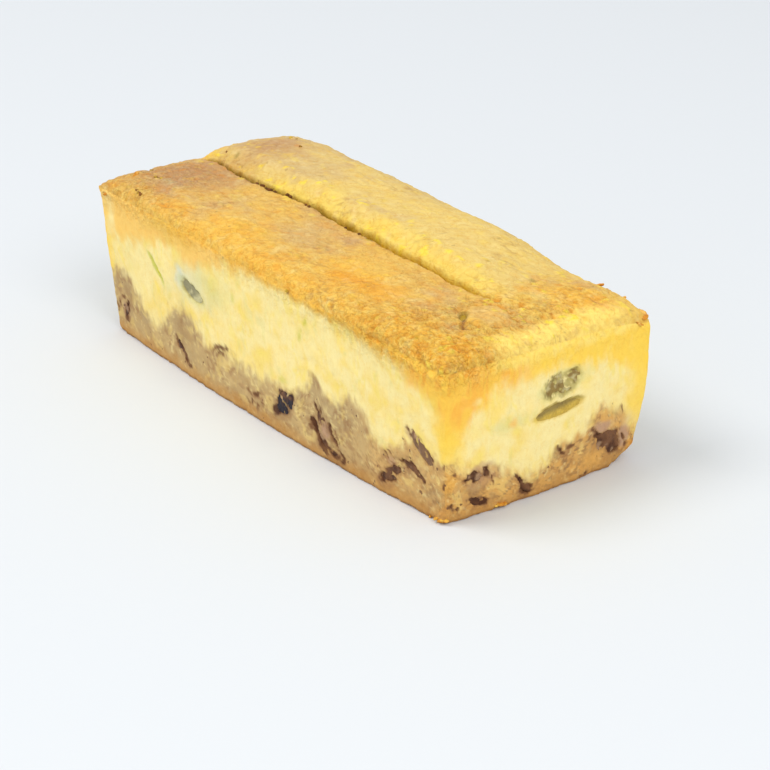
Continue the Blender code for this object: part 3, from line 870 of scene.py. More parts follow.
# thin painted lines: bake, width, strength, then the points
paintedLines = [
    # painted shadow along the crack that runs down from the fruit hole, in olive then red-tan; the olive head is also
    # the fruit's own colour
    ("olive", 1.1, 0.95, [(66.2, -12.6, 52), (68.4, -14.6, 52), (70.2, -16.2, 52)]),
    ("tanRed", 0.8, 0.7, [(70.2, -16.2, 52), (73, -18.6, 52), (76, -19.8, 52)]),
    ("burnt", 0.5, 0.5, [(66.5, -13.2, 52), (64.2, -9.6, 52), (63, -6.0, 52), (64.0, -2.8, 52)]),
    ("deepOrange", 0.6, 0.55, [(54.6, -37.7, 47.4), (61, -37.7, 48), (67, -37, 49), (75, -36.6, 49), (81, -36.8, 46.6)]),
    ("deepOrange", 0.7, 0.5, [(-60, -35.6, 51.7), (-57.6, -35, 51.7), (-52, -33.8, 52), (-45.7, -29.9, 52.8)]),
    ("brown", 1.1, 0.85, [(86.6, -37, 18), (85.8, -37, 15)]),
    ("brown", 1.0, 0.7, [(84.8, -37, 11), (85.6, -37, 8)]),
    ("leafGreen", 0.5, 0.35, [(25.4, -38, 42.6), (24, -38, 40), (22.4, -38, 37.6), (21.2, -38, 34)]),
]


def paintSpots(colour, p, spots):
    frayed = warped(warped(p, 6, 2.2, 200), 1.7, 1.0, 210)
    slightly = warped(p, 1.8, 0.5, 210)
    for name, middle, reach, strength in spots:
        near = slightly if min(reach) < 3 else frayed
        distance = np.linalg.norm((near - middle) / reach, axis=1)
        colour = mixIn(colour, name, strength * (1 - ramp((distance - 0.15) / 0.85)))
    return colour


def paintTop(p):
    x, y = p[:, 0], p[:, 1]
    broad = noise(warped(p, 9, 3.5, 220), (14, 7, 9), 221, 3)
    feather = noise(warped(warped(p, 5, 2.6, 226), 1.8, 0.9, 227), (3.6, 2.4, 3), 228, 3)
    colour = np.tile(bakes["paleTan"], (len(p), 1))
    colour = mixIn(colour, "golden", 0.75 * ramp(0.45 + 0.8 * broad))
    hump = ramp((beyond - 1.5) / 3.0)
    colour = mixIn(colour, "humpPale", hump)
    colour = mixIn(colour, "humpGold", hump * ramp(0.55 + 0.6 * broad + (x + 20) / 110))
    torn = ramp((beyond - 0.2) / 1.0) * (1 - ramp((beyond - 1.5 - 3.0 * broad) / 10)) * (1 - 0.6 * ramp((x - 50) / 18))
    colour = mixIn(colour, "slitYellow", 0.95 * torn * ramp(0.85 + 0.5 * feather))
    rightEnd = ramp((x - 50) / 20)
    colour = mixIn(colour, "golden", 0.8 * rightEnd * ramp(0.7 + 0.6 * broad))
    # the orange band that feathers in from the near rim
    band = hill(fromRim - 2 + 2.5 * noise(p, 5, 223), 8 + 3 * noise(p, 16, 224))
    near = ramp((-y - 14) / 12) * (0.25 + 0.75 * ramp((x + 62) / 22))
    colour = mixIn(colour, "golden", 0.9 * band * near)
    colour = mixIn(colour, "orange", 0.6 * band * near * ramp(0.6 + feather))
    colour = mixIn(colour, "golden", 0.6 * (1 - ramp((-y - 15) / 12)) * hill(fromRim, 4))
    colour = paintSpots(colour, p, topSpots)
    # painted highlight on the rim of each pit, on its side towards +x and +y, and painted shade inside each pit, orange
    # to the right and olive further left, partly the orange of the crust
    near = warped(warped(p, 3, 0.8, 216), 1.4, 0.5, 215)
    for atX, atY, atZ, radius, depth in relief["pits"]:
        out = np.hypot((near[:, 0] - atX) / 1.2, near[:, 1] - atY) / radius
        pitHighlight = hill(out - 1.3, 0.3) * ramp((near[:, 0] - atX + near[:, 1] - atY) / radius)
        colour = mixIn(colour, "rimYellow", 0.5 * pitHighlight * (atX > 50) * (depth > 0))
        inside = (1 - ramp((out - 0.3) / 0.6)) * (depth > 0)
        colour = mixIn(colour, "pitOrange" if atX > 60 else "olive", 0.65 * inside)
    rimBand = ramp((x - 80) / 5) * ramp((y + 22) / 8) * (1 - ramp((y - 24) / 8))
    colour = mixIn(colour, "rimYellow", 0.95 * rimBand * ramp(0.9 + 1.2 * feather))
    # fine feathering over all of it
    colour = mixIn(colour, "deepOrange", 0.3 * ramp((feather - 0.1) / 0.5) * (1 - 0.7 * hump * (1 - rightEnd)))
    colour = mixIn(colour, "slitYellow", 0.35 * hump * ramp((feather - 0.25) / 0.4))
    colour = mixIn(colour, "cream", 0.22 * ramp((-feather - 0.2) / 0.5))
    # painted shade in the hollows of the crumbly relief and painted highlight on its peaks
    colour = mixIn(colour, "burnt", 0.38 * roughness * ramp((-crumbly - 0.05) / 0.5) * (1 - rimBand))
    colour = mixIn(colour, "rimYellow", 0.24 * roughness * ramp((crumbly - 0.15) / 0.4))
    colour = mixIn(colour, "tanRed", 0.34 * creases)
    # small bright flakes, mostly above the slit
    near = hill(beyond - 5, 8) + 0.5 * ramp((x - 40) / 20) + 0.25
    colour = mixIn(colour, "slitBright", 0.75 * flakes * near)
    # inside the slit: painted shade where it is deep, a darker brown painted shade in the deep part towards the left,
    # and brown crumbs at the left half
    deep = ramp((groove - 0.04) / 0.3)
    crumbs = ramp(0.35 + 1.3 * noise(p, 1.6, 283, 2)) * ramp((-20 - x) / 12)
    colour = mixIn(colour, "slitDeep", 0.95 * deep)
    colour = mixIn(colour, "slitBrown", 0.8 * ramp((groove - 0.06) / 0.3) * ramp(crumbs - 0.05 + 0.65 * ramp((22 - x) / 30)))
    edge = hill(beyond + 0.2, 0.9) * (1 - 0.7 * ramp((x - 10) / 30)) * ramp((x + 78) / 10)
    return mixIn(colour, "tanRed", 0.6 * edge * ramp(0.2 + 1.2 * noise(p, 1.5, 284, 2)))


# How low the baked colour runs down each wall: place along, then height
baked = {
    "near": (
        (-88, -82, -72, -62, -52, -44, -36, -28, -20, -8, 10, 30, 50, 62, 72, 80, 88),
        (31, 33, 35, 37, 41, 42, 38.5, 40, 43, 45.4, 46, 45.4, 44.4, 42, 39.5, 37, 33),
    ),
    "right": ((-38, -31, -26, -20, -10, 2, 13, 18, 24, 28, 33, 38), (23, 26, 32, 36, 37, 37.4, 35.4, 34.2, 33.2, 31, 28, 25)),
}


def paintWalls(p):
    x, y, z = p.T
    blotch = noise(warped(p, 6, 2.2, 230), (4.2, 4.2, 5.2), 231, 3)
    broad = noise(p, 16, 232)
    fibre = 1 - 2 * np.abs(noise(warped(p, 7, 1.8, 233), (2.4, 2.4, 12), 234, 2))
    thin = ramp((fibre - 0.5) / 0.45) * ramp(0.4 + 1.2 * noise(p, 8, 235))
    colour = np.tile(bakes["crumb"], (len(p), 1))
    colour = mixIn(colour, "cream", ramp(0.62 + 0.8 * blotch + 0.4 * broad))
    colour = mixIn(colour, "lemon", 0.7 * ramp(-0.1 - 0.9 * blotch - 0.3 * broad))
    colour = mixIn(colour, "lemon", 0.5 * thin)
    colour = mixIn(colour, "paleGreen", 0.25 * ramp((noise(warped(p, 5, 1.5, 236), (2.2, 2.2, 6), 237, 2) - 0.35) / 0.4))
    # the upright edges are a stronger yellow
    corner = np.minimum(halfLength - np.abs(x), 99) + np.minimum(halfWidth - np.abs(y), 99)
    colour = mixIn(colour, "strongYellow", 0.55 * hill(corner - 2, 5))
    # baked colour that runs down from the rim in frayed tongues
    feather = noise(warped(p, 4, 1.6, 240), (2.6, 2.6, 5.5), 241, 3)
    atNear, atRight = wallOf == "near", wallOf == "right"
    low = np.where(atNear, np.interp(x, *baked["near"]), np.where(atRight, np.interp(y, *baked["right"]), 43))
    crisp = atNear * ramp((x + 14) / 12) * (1 - ramp((x - 46) / 16))
    golden = ramp((z - low + (1.5 + 3.0 * feather) * (1 - 0.6 * crisp)) / (6.5 - 4.0 * crisp))
    colour = mixIn(colour, "golden", 0.85 * golden * ~atRight)
    atLeft = 1 - ramp((y + 15) / 13)
    band = golden * atRight * ramp(0.95 + 0.5 * feather)
    colour = mixIn(colour, "bandYellow", 0.9 * band * (1 - atLeft))
    colour = mixIn(colour, "amber", band * atLeft)
    colour = mixIn(colour, "bleed", golden * atNear * (1 - ramp((x + 30) / 40)))
    top = rimHeight(x, y) - np.where(atNear, np.interp(x, (-88, -70, -40, 0, 50, 70, 88), (5, 4.5, 3, 2.4, 3, 5, 8)), 2.6)
    colour = mixIn(colour, "orange", 0.8 * ~atRight * ramp((z - top + 1.6 * feather) / 2.6) * (1 - 0.75 * atNear * (1 - ramp((x + 70) / 30))))
    above = atRight * ramp((z - 42.4 + 1.6 * feather) / 2.4) * ramp((y + 26) / 10)
    colour = mixIn(colour, "rimYellow", 0.95 * above)
    colour = paintSpots(colour, p, wallSpots)
    streaks = ramp((fibre - 0.1) / 0.7) * ramp((x - 62) / 12) * (y < 30) * golden
    return mixIn(colour, "strongYellow", 0.5 * streaks)


def paintLower(p, colour):
    x, y, z = p.T
    soft = overSeam + 2.2 * noise(warped(p, 5, 1.8, 250), (3.6, 3.6, 5), 251, 3) + 2.2 * noise(warped(p, 3, 0.8, 253), (1.3, 1.3, 3.2), 252, 2)
    # thin grey wisps that rise from the lower layer
    for atX, height, wide in ((29.5, 27, 2.6), (34, 24, 2.6), (21, 20, 2.5), (47, 24, 3.8), (73, 24.5, 2.5), (-20, 17.5, 4)):
        wisp = hill(x - atX, wide) * (y < 0) * (1 - ramp((z - height + 4) / 5)) * ramp((z - 10) / 4)
        soft = soft - 3.0 * wisp
    lower = (1 - ramp((soft + 2.2) / 6.4)) * onWall
    atRight = (wallOf == "right").astype(float)
    mottled = noise(warped(p, 4, 1.6, 260), 4.0, 261, 3)
    finer = noise(warped(p, 1.8, 0.8, 265), 1.6, 266, 2)
    tan = np.tile(bakes["tan"], (len(p), 1))
    tan = mixIn(tan, "tanLight", ramp(0.3 + 0.8 * mottled + 0.3 * finer))
    tan = mixIn(tan, "tanDark", 0.7 * ramp(-0.15 - 0.8 * mottled + 0.4 * finer))
    tan = mixIn(tan, "tanGrey", 0.6 * ramp(0.1 + noise(p, 9, 262) + (z - 10) / 10))
    tan = mixIn(tan, "tanGold", np.clip(0.8 * atRight + 0.45 * ramp((x - 38) / 30), 0, 0.85) * ramp(0.8 + 0.6 * mottled))
    tan = mixIn(tan, "tanRed", 0.4 * ramp((noise(warped(p, 5, 2, 267), 3.0, 268, 2) - 0.3) / 0.35))
    tan = mixIn(tan, "crumb", 0.35 * ramp((noise(warped(p, 4, 2, 269), (3.2, 3.2, 4), 270, 2) - 0.3) / 0.3))
    speckled = ramp((noise(warped(p, 1.5, 0.6, 271), 1.2, 272, 2) - 0.2) / 0.4)
    tan = mixIn(tan, "tanDark", (0.5 + 0.35 * atRight) * speckled * ramp(0.4 + noise(p, 8, 273) + (x + 10) / 60))
    strand = 1 - 2 * np.abs(noise(warped(p, 4, 2.2, 274), (2.6, 2.6, 4.4), 275, 3))
    strands = ramp((strand - 0.72) / 0.25) * ramp(0.3 + 1.1 * noise(p, 7, 276) + 0.35 * atRight)
    tan = mixIn(tan, "tanRed", 0.55 * strands * ramp((x + 30) / 50))
    tan = mixIn(tan, "cream", 0.35 * ramp((noise(warped(p, 1.8, 0.8, 277), 1.3, 278, 2) - 0.35) / 0.3))
    # golden-brown towards the base and brown in the last mm: partly the browned crust of the base, partly painted shade
    # along the bottom of the walls
    tan = mixIn(tan, "baseGold", 0.8 * (1 - ramp((z - 0.6 + 1.6 * mottled) / 5.5)))
    tan = mixIn(tan, "brown", 0.45 * (1 - ramp((z + 0.6 * finer) / 1.4)))
    amount = lower[:, None]
    return colour * (1 - amount) + tan * amount, lower


colour = np.where(onTop[:, None], paintTop(points), paintWalls(points))
colour, lower = paintLower(points, colour)
colour = paintSpots(colour, points, [spot for spot in wallSpots if spot[1][2] < 15])
frayed = warped(points, 1.8, 0.5, 210)
for name, width, strength, line in paintedLines:
    colour = mixIn(colour, name, strength * (1 - ramp((lineDistance(frayed, line) / width - 0.4) / 0.7)))

ring = hill(blisterEdge(frayed)[0], 0.6) * onTop
colour = mixIn(colour, "burnt", 0.15 * ring * ramp(0.7 + coverNoise))

# stains round the fruit, the dark specks of the piece at the right end, and painted shade over the upper edge of the
# lens
for name in fruitNodes:
    outline = outlines[name]
    spot = inOutline(outline, warped(points, 3.2, 0.8, 100))
    out = (spot - 1) * outline["half"].mean()
    here = (wallOf == outline["wall"]).astype(float)
    if outline["wall"] != "top" and name != "green_fruit_right_2":
        colour = mixIn(colour, "paleGreen", here * 0.5 * (1 - ramp((out + 0.6 * coverNoise) / 2.2)))
    edge = {"green_fruit_top_1": "olive", "green_fruit_right_2": "gold", "green_fruit_near_2": "leafGreen"}.get(name, "olive")
    colour = mixIn(colour, edge, here * 0.7 * pieceOpen[name])
    if name == "green_fruit_right_1":
        spot = inOutline(outline, warped(warped(points, 4, 1.8, 330), 1.6, 0.9, 331))
        inside = here * (1 - ramp((spot - 0.7) / 0.45))
        colour = mixIn(colour, "olive", 0.6 * inside)
        flecks = noise(warped(points, 1.5, 0.5, 332), 1.0, 333, 2)
        colour = mixIn(colour, "oliveDark", 0.8 * inside * ramp((fineNoise + 0.6 * flecks + 0.1) / 0.35))
        colour = mixIn(colour, "cream", 0.8 * inside * ramp((-flecks - 0.2) / 0.25))
    if name == "green_fruit_right_2":
        height = (points[:, 2] - outline["middle"][1]) / outline["half"].min()
        # painted shade: olive over the skin along the upper edge of the lens, where the lip above shades it
        colour = mixIn(colour, "olive", 0.75 * here * (1 - ramp((out + 0.4) / 1.5)) * ramp((height - 0.2) / 0.6))

# bean skin, its stain on the crumb and the paler flesh
stain = smearStrength(points + np.array([0.3, 0.3, 0.6]), 1.7)
colour = mixIn(colour, "tanRed", 0.5 * stain * ramp(0.6 + 0.8 * coverNoise))
pale = np.zeros(len(points))
for wall, place, reach, strength in (
    ("near", (-79, 9.6), (2.8, 3.2), 0.85), ("near", (33.6, 9.6), (2.6, 4.2), 0.9), ("near", (13, 13.6), (4, 2.0), 0.6),
    ("near", (64, 12), (3.0, 2.0), 0.5), ("near", (73, 24), (3, 2.5), 0.4), ("right", (21, 14.6), (6, 3.2), 0.85),
    ("right", (30, 9), (3.0, 5), 0.8), ("right", (-23, 15.6), (5, 2), 0.5),
):
    spread = np.linalg.norm((wallPlane(wall, warped(points, 2.5, 0.8, 310)) - place) / reach, axis=1)
    pale = np.maximum(pale, (wallOf == wall) * strength * (1 - ramp((spread - 0.4) / 0.6)))
colour = mixIn(colour, "mauve", pale * (1 - 0.7 * smear))
darker = ramp(0.5 + 0.9 * noise(warped(points, 2.5, 1, 320), (1.8, 1.8, 2.6), 321, 2))
colour = mixIn(colour, "beanRed", 0.9 * ramp(smear / 0.6))
colour = mixIn(colour, "bean", 0.95 * ramp((smear - 0.35) / 0.4) * (0.35 + 0.65 * darker))
blue = hill(inOutline(outlines["red_bean_near_3"], points), 1.3) * (wallOf == "near")
colour = mixIn(colour, "beanBlue", 0.9 * smear * blue)
storeColour(loaf.data, "bake", colour)
nearBeans = 0.45 + stain + 0.6 * (wallOf == "right") + 0.5 * ramp((points[:, 0] - 35) / 30)
nearBeans = np.clip(nearBeans + 0.8 * hill(np.hypot(points[:, 0] - 87, points[:, 1] + 37), 9), 0, 1.6)
browned = np.where(onTop, 1, ramp(1 + (fromRim + 1.5 + 1.5 * coverNoise) / np.where(wallOf == "right", 3, 5)))
browned *= 1 - 0.6 * ramp((points[:, 0] - 79) / 6) * ramp((points[:, 1] + 24) / 10)
masks = np.stack([browned, lower * nearBeans * (1 - smear), roughness], axis=1)
storeColour(loaf.data, "masks", masks)
print("bake colours painted")


# Materials

def addNode(tree, kind, inputs=None, **settings):
    made = tree.nodes.new("ShaderNode" + kind)
    for name, value in settings.items():
        setattr(made, name, value)
    for name, value in (inputs or {}).items():
        if isinstance(value, bpy.types.NodeSocket):
            tree.links.new(value, made.inputs[name])
        else:
            made.inputs[name].default_value = value
    return made


def calculate(tree, operation, first, second=0.0, third=0.0):
    return addNode(tree, "Math", {0: first, 1: second, 2: third}, operation=operation).outputs[0]


def remap(tree, value, low, high, newLow=0.0, newHigh=1.0):
    made = addNode(tree, "MapRange", {"Value": value, "From Min": low, "From Max": high})
    made.inputs["To Min"].default_value = newLow
    made.inputs["To Max"].default_value = newHigh
    return made.outputs["Result"]


def mixColours(tree, amount, first, second, kind="MIX"):
    made = addNode(tree, "Mix", {0: amount, 6: first, 7: second}, data_type="RGBA", blend_type=kind)
    return made.outputs[2]


def makeGrainGroup():
    group = bpy.data.node_groups.new("crumbGrain", "ShaderNodeTree")
    for name, kind in (("Vector", "NodeSocketVector"), ("Streaks", "NodeSocketFloat"), ("Folds", "NodeSocketFloat"), ("Chance", "NodeSocketFloat")):
        group.interface.new_socket(name=name, in_out="INPUT", socket_type=kind)
    for name in ("Shade", "Height", "Line", "Fleck", "Flake", "Lump"):
        group.interface.new_socket(name=name, in_out="OUTPUT", socket_type="NodeSocketFloat")
    enter = group.nodes.new("NodeGroupInput")
    leave = group.nodes.new("NodeGroupOutput")
    place = enter.outputs["Vector"]

    def noiseAt(where, scale, detail, distortion=0.0):
        inputs = {"Vector": where, "Scale": scale, "Detail": detail, "Roughness": 0.6, "Distortion": distortion}
        return addNode(group, "TexNoise", inputs).outputs["Fac"]

    fine = noiseAt(place, 1500.0, 3.0)
    medium = noiseAt(place, 400.0, 3.0, 0.8)
    drawn = addNode(group, "Mapping", {"Vector": place, "Scale": (1.0, 1.0, 0.2)}).outputs[0]
    lines = noiseAt(drawn, 900.0, 2.0, 0.5)
    mixed = calculate(group, "ADD", calculate(group, "MULTIPLY", fine, 0.5), calculate(group, "MULTIPLY", medium, 0.5))
    streaky = addNode(group, "Mix", {0: enter.outputs["Streaks"], 2: mixed, 3: lines}).outputs[0]
    turned = addNode(group, "Mapping", {"Vector": place, "Rotation": (0.0, 0.0, -0.92)}).outputs[0]
    across = addNode(group, "Mapping", {"Vector": turned, "Scale": (0.3, 1.0, 1.0)}).outputs[0]
    streaky = addNode(group, "Mix", {0: enter.outputs["Folds"], 2: streaky, 3: noiseAt(across, 620.0, 4.0, 1.2)}).outputs[0]
    folded = calculate(group, "ABSOLUTE", calculate(group, "SUBTRACT", noiseAt(place, 380.0, 3.0, 0.6), 0.5))
    ridge = remap(group, folded, 0.035, 0.0)
    # irregular specks, dark ones and pale ones
    wobble = addNode(group, "VectorMath", {0: addNode(group, "TexNoise", {"Vector": place, "Scale": 1300.0}).outputs["Color"]}, operation="SCALE")
    wobble.inputs["Scale"].default_value = 0.0011
    moved = addNode(group, "VectorMath", {0: place, 1: wobble.outputs[0]}, operation="ADD").outputs[0]
    cells = addNode(group, "TexVoronoi", {"Vector": moved, "Scale": 430.0})
    luck = addNode(group, "SeparateColor", {"Color": cells.outputs["Color"]})
    size = remap(group, luck.outputs[1], 0.0, 1.0, 0.10, 0.26)
    dot = remap(group, calculate(group, "SUBTRACT", cells.outputs["Distance"], size), 0.03, -0.03)
    rare = calculate(group, "LESS_THAN", luck.outputs[0], enter.outputs["Chance"])
    small = addNode(group, "TexVoronoi", {"Vector": moved, "Scale": 900.0})
    smallLuck = addNode(group, "SeparateColor", {"Color": small.outputs["Color"]}).outputs[0]
    flake = remap(group, small.outputs["Distance"], 0.38, 0.22)
    coarse = addNode(group, "TexVoronoi", {"Vector": moved, "Scale": 560.0}).outputs["Distance"]
    lump = calculate(group, "ADD", remap(group, coarse, 0.65, 0.1), calculate(group, "MULTIPLY", fine, 0.6))
    group.links.new(lump, leave.inputs["Lump"])
    group.links.new(streaky, leave.inputs["Shade"])
    group.links.new(calculate(group, "ADD", mixed, calculate(group, "MULTIPLY", ridge, -0.25)), leave.inputs["Height"])
    group.links.new(ridge, leave.inputs["Line"])
    group.links.new(calculate(group, "MULTIPLY", dot, rare), leave.inputs["Fleck"])
    group.links.new(calculate(group, "MULTIPLY", flake, calculate(group, "LESS_THAN", smallLuck, 0.3)), leave.inputs["Flake"])
    return group


grainGroup = makeGrainGroup()


def startMaterial(name):
    material = bpy.data.materials.new(name)
    material.use_nodes = True
    return material, material.node_tree, material.node_tree.nodes["Principled BSDF"]


crumbLook = {
    "contrast": (2.0, 0.5, 3.5),  # on crumb, more on crust, more where it is rough
    "deep": (0.93, 0.73, 0.42),
    "pale": (1.08, 1.10, 1.14),
    "warm": (0.90, 0.70, 0.40),
    "flake": (1.0, 0.62, 0.16),
    "crustFleck": (0.34, 0.20, 0.05),
    "beanFleck": (0.14, 0.065, 0.04),
    "roughness": (0.78, 0.55),
    "bump": 0.0005,
}


def makeCrumbMaterial(name):
    material, tree, shader = startMaterial(name)
    place = addNode(tree, "TexCoord").outputs["Object"]
    bake = addNode(tree, "Attribute", attribute_name="bake").outputs["Color"]
    masks = addNode(tree, "SeparateColor", {"Color": addNode(tree, "Attribute", attribute_name="masks").outputs["Color"]})
    crust, under, rough = masks.outputs

    def times(first, second):
        return calculate(tree, "MULTIPLY", first, second)

    def plus(first, second):
        return calculate(tree, "ADD", first, second)

    grain = addNode(tree, "Group")
    grain.node_tree = grainGroup
    tree.links.new(place, grain.inputs["Vector"])
    tree.links.new(times(calculate(tree, "SUBTRACT", 1.0, crust), 0.25), grain.inputs["Streaks"])
    tree.links.new(times(crust, calculate(tree, "SUBTRACT", 0.75, rough)), grain.inputs["Folds"])
    tree.links.new(plus(times(under, 0.34), 0.03), grain.inputs["Chance"])
    # deeper and paler grain, stronger where the skin is rough; partly the crumb's own mottling, partly painted shade in
    # the hollows of the bump and painted highlight on its rises, and the lump term paints shade between the lumps and
    # highlight on their tops
    base, onCrust, onRough = crumbLook["contrast"]
    contrast = plus(plus(times(crust, onCrust), times(rough, onRough)), base)
    tone = times(calculate(tree, "SUBTRACT", grain.outputs["Shade"], 0.5), contrast)
    tone = plus(tone, times(calculate(tree, "SUBTRACT", grain.outputs["Lump"], 0.68), times(rough, 0.8)))
    deep = mixColours(tree, 1.0, bake, (*crumbLook["deep"], 1), "MULTIPLY")
    pale = mixColours(tree, 1.0, bake, (*crumbLook["pale"], 1), "MULTIPLY")
    colour = mixColours(tree, remap(tree, tone, 0, -1), bake, deep)
    colour = mixColours(tree, remap(tree, tone, 0, 1), colour, pale)
    warm = mixColours(tree, 1.0, colour, (*crumbLook["warm"], 1), "MULTIPLY")
    lines = times(times(grain.outputs["Line"], crust), calculate(tree, "SUBTRACT", 0.5, times(rough, 0.4)))
    colour = mixColours(tree, lines, colour, warm)
    colour = mixColours(tree, times(times(grain.outputs["Flake"], rough), 0.35), colour, (*crumbLook["flake"], 1))
    dark = remap(tree, under, 0.05, 0.3)
    colour = mixColours(tree, times(times(grain.outputs["Fleck"], dark), 0.8), colour, (*crumbLook["beanFleck"], 1))
    dots = times(times(grain.outputs["Fleck"], crust), 0.45)
    colour = mixColours(tree, dots, colour, (*crumbLook["crustFleck"], 1))
    tree.links.new(colour, shader.inputs["Base Color"])
    dull, sheen = crumbLook["roughness"]
    tree.links.new(remap(tree, crust, 0, 1, dull, sheen), shader.inputs["Roughness"])
    shader.inputs["Specular IOR Level"].default_value = 0.18
    height = times(grain.outputs["Height"], plus(times(rough, 1.3), 0.35))
    height = plus(height, times(times(grain.outputs["Lump"], rough), 0.8))
    bump = addNode(tree, "Bump", {"Height": height, "Strength": 0.9, "Distance": crumbLook["bump"]})
    tree.links.new(bump.outputs[0], shader.inputs["Normal"])
    return material


yellowCrumb = makeCrumbMaterial("yellowCrumb")
beanCrumb = makeCrumbMaterial("beanCrumb")


# The skin is parted at the seam, and each half closed

def keepPart(name, keep, material, node):
    bpy.ops.object.select_all(action="DESELECT")
    loaf.select_set(True)
    bpy.context.view_layer.objects.active = loaf
    bpy.ops.object.duplicate()
    piece = bpy.context.object
    piece.name = name
    mesh = piece.data
    corner = np.empty(len(mesh.loops), np.int32)
    mesh.loops.foreach_get("vertex_index", corner)
    middle = level[corner].reshape(-1, 4).mean(axis=1)
    clearSelection(mesh)
    mesh.polygons.foreach_set("select", ~keep(middle))
    editMode(piece)
    bpy.ops.mesh.select_mode(type="FACE")
    bpy.ops.mesh.delete(type="FACE")
    bpy.ops.mesh.select_mode(type="EDGE")
    bpy.ops.mesh.select_all(action="DESELECT")
    bpy.ops.mesh.select_non_manifold()
    bpy.ops.mesh.mark_sharp()
    objectMode()
    # the base ring gets one flat face; the seam ring first turns inwards to a level one
    ends = np.empty(len(mesh.edges) * 2, np.int32)
    mesh.edges.foreach_get("vertices", ends)
    openEdge = np.empty(len(mesh.edges), bool)
    mesh.edges.foreach_get("select", openEdge)
    atBase = getPoints(mesh)[ends.reshape(-1, 2)[:, 0], 2] < 0.5 * mm
    for ring in (openEdge & atBase, openEdge & ~atBase):
        if not ring.any():
            continue
        clearSelection(mesh)
        mesh.edges.foreach_set("select", ring[:len(mesh.edges)])
        editMode(piece)
        bpy.ops.mesh.select_mode(type="EDGE")
        if (ring & ~atBase).any():
            bpy.ops.mesh.extrude_edges_move()
            bpy.ops.transform.resize(value=loafForm["seamInset"], center_override=(0, 0, loafForm["seamLevel"] * mm))
        bpy.ops.mesh.edge_face_add()
        objectMode()
    editMode(piece)
    bpy.ops.mesh.select_all(action="SELECT")
    bpy.ops.mesh.normals_make_consistent(inside=False)
    objectMode()
    for face in mesh.polygons:
        face.use_smooth = True
    mesh.materials.clear()
    mesh.materials.append(material)
    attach(piece, "root")
    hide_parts(node)
    print(f"{name}: {sum(len(face.vertices) - 2 for face in mesh.polygons)} triangles")
    return piece


seamRow = loafForm["seamLevels"]
upperLoaf = keepPart("upperLoaf", lambda row: row > seamRow, yellowCrumb, "yellow_crumb")
lowerLoaf = keepPart("lowerLoaf", lambda row: row < seamRow, beanCrumb, "bean_crumb")
bpy.data.objects.remove(loaf, do_unlink=True)


# Beans and fruit

pieceShades = {
    "beanDark": (80, 46, 26), "beanRed": (124, 84, 54), "beanMauve": (180, 144, 108), "beanBlue": (42, 36, 46),
    "fruitOlive": (150, 124, 66), "fruitPale": (196, 182, 128), "fruitGrey": (150, 144, 108), "fruitMoss": (208, 200, 150),
    "fruitGold": (212, 178, 74), "fruitDark": (150, 128, 68), "fruitBright": (216, 206, 48), "fruitDeep": (186, 152, 40),
}
pieceShades = {name: tint(*value) for name, value in pieceShades.items()}


def copyNode(node, name):
    source = bpy.data.objects[node]
    piece = source.copy()
    piece.data = source.data.copy()
    for key in list(piece.keys()):
        del piece[key]
    bpy.context.scene.collection.objects.link(piece)
    piece.name = name
    piece.data.materials.clear()
    editMode(piece)
    bpy.ops.mesh.select_all(action="SELECT")
    bpy.ops.mesh.remove_doubles(threshold=1e-6)
    bpy.ops.mesh.normals_make_consistent(inside=False)
    objectMode()
    return piece


outward = {"near": (0, -1, 0), "far": (0, 1, 0), "right": (1, 0, 0), "left": (-1, 0, 0), "top": (0, 0, 1)}


def roughenPiece(piece, voxel, wrinkle, sink, wall, seed):
    remesh = piece.modifiers.new("remesh", "REMESH")
    remesh.mode = "VOXEL"
    remesh.voxel_size = voxel * mm
    applyModifiers(piece)
    mesh = piece.data
    places, facing = getPoints(mesh) / mm, getNormals(mesh)
    fold = noise(warped(places, 3, 1.2, seed), (2.0, 2.0, 3.4), seed + 1, 2)
    places = places + facing * (wrinkle * fold)[:, None] - sink * np.array(outward[wall])
    setPoints(mesh, places * mm)
    for face in mesh.polygons:
        face.use_smooth = True
    return places, facing


def mixShades(first, second, amount):
    amount = ramp(amount)[:, None]
    return pieceShades[first] * (1 - amount) + pieceShades[second] * amount


def beanColours(p, seed, node):
    blue = node == "red_bean_near_3"
    streak = noise(warped(p, 3, 1.4, seed + 9), (2.0, 2.0, 3.6), seed + 3, 2)
    colour = mixShades("beanBlue" if blue else "beanDark", "beanRed", 0.15 + 0.8 * streak if blue else 0.45 + 0.9 * streak)
    pale = ramp((noise(p, 3.0, seed + 4) - 0.35) / 0.3) * 0.7 + 0.4 * (node == "red_bean_near_7")
    return colour * (1 - ramp(pale)[:, None]) + pieceShades["beanMauve"] * ramp(pale)[:, None]


def fruitColours(p, seed, name):
    streak = noise(warped(p, 3, 1.0, seed + 9), (2.2, 2.2, 1.8), seed + 3, 2)
    flat = (wallPlane(outlines[name]["wall"], p) - outlines[name]["middle"]) / outlines[name]["half"].max()
    if name == "green_fruit_near_1":
        # painted shade: darker towards the upper left of the hollow, lighter towards the lower right
        return mixShades("fruitGrey", "fruitMoss", 0.35 + 0.7 * streak - 1.2 * flat[:, 1] + 0.5 * flat[:, 0])
    if name == "green_fruit_near_2":
        return mixShades("fruitBright", "fruitOlive", -0.3 - 1.2 * flat[:, 0])
    if name == "green_fruit_right_2":
        # painted shadow of the lip above: darker at the top of the lens, golden towards the bottom
        return mixShades("fruitDark", "fruitGold", 0.55 - 4.0 * flat[:, 1] + 0.2 * streak + 0.5 * flat[:, 0])
    if name == "green_fruit_top_1":
        return mixShades("fruitDeep", "fruitOlive", 0.3 + 0.5 * streak)
    fleck = noise(p, 1.1, seed + 5, 2)
    return mixShades("fruitOlive", "fruitPale", 0.2 + 0.5 * streak + 0.9 * fleck)


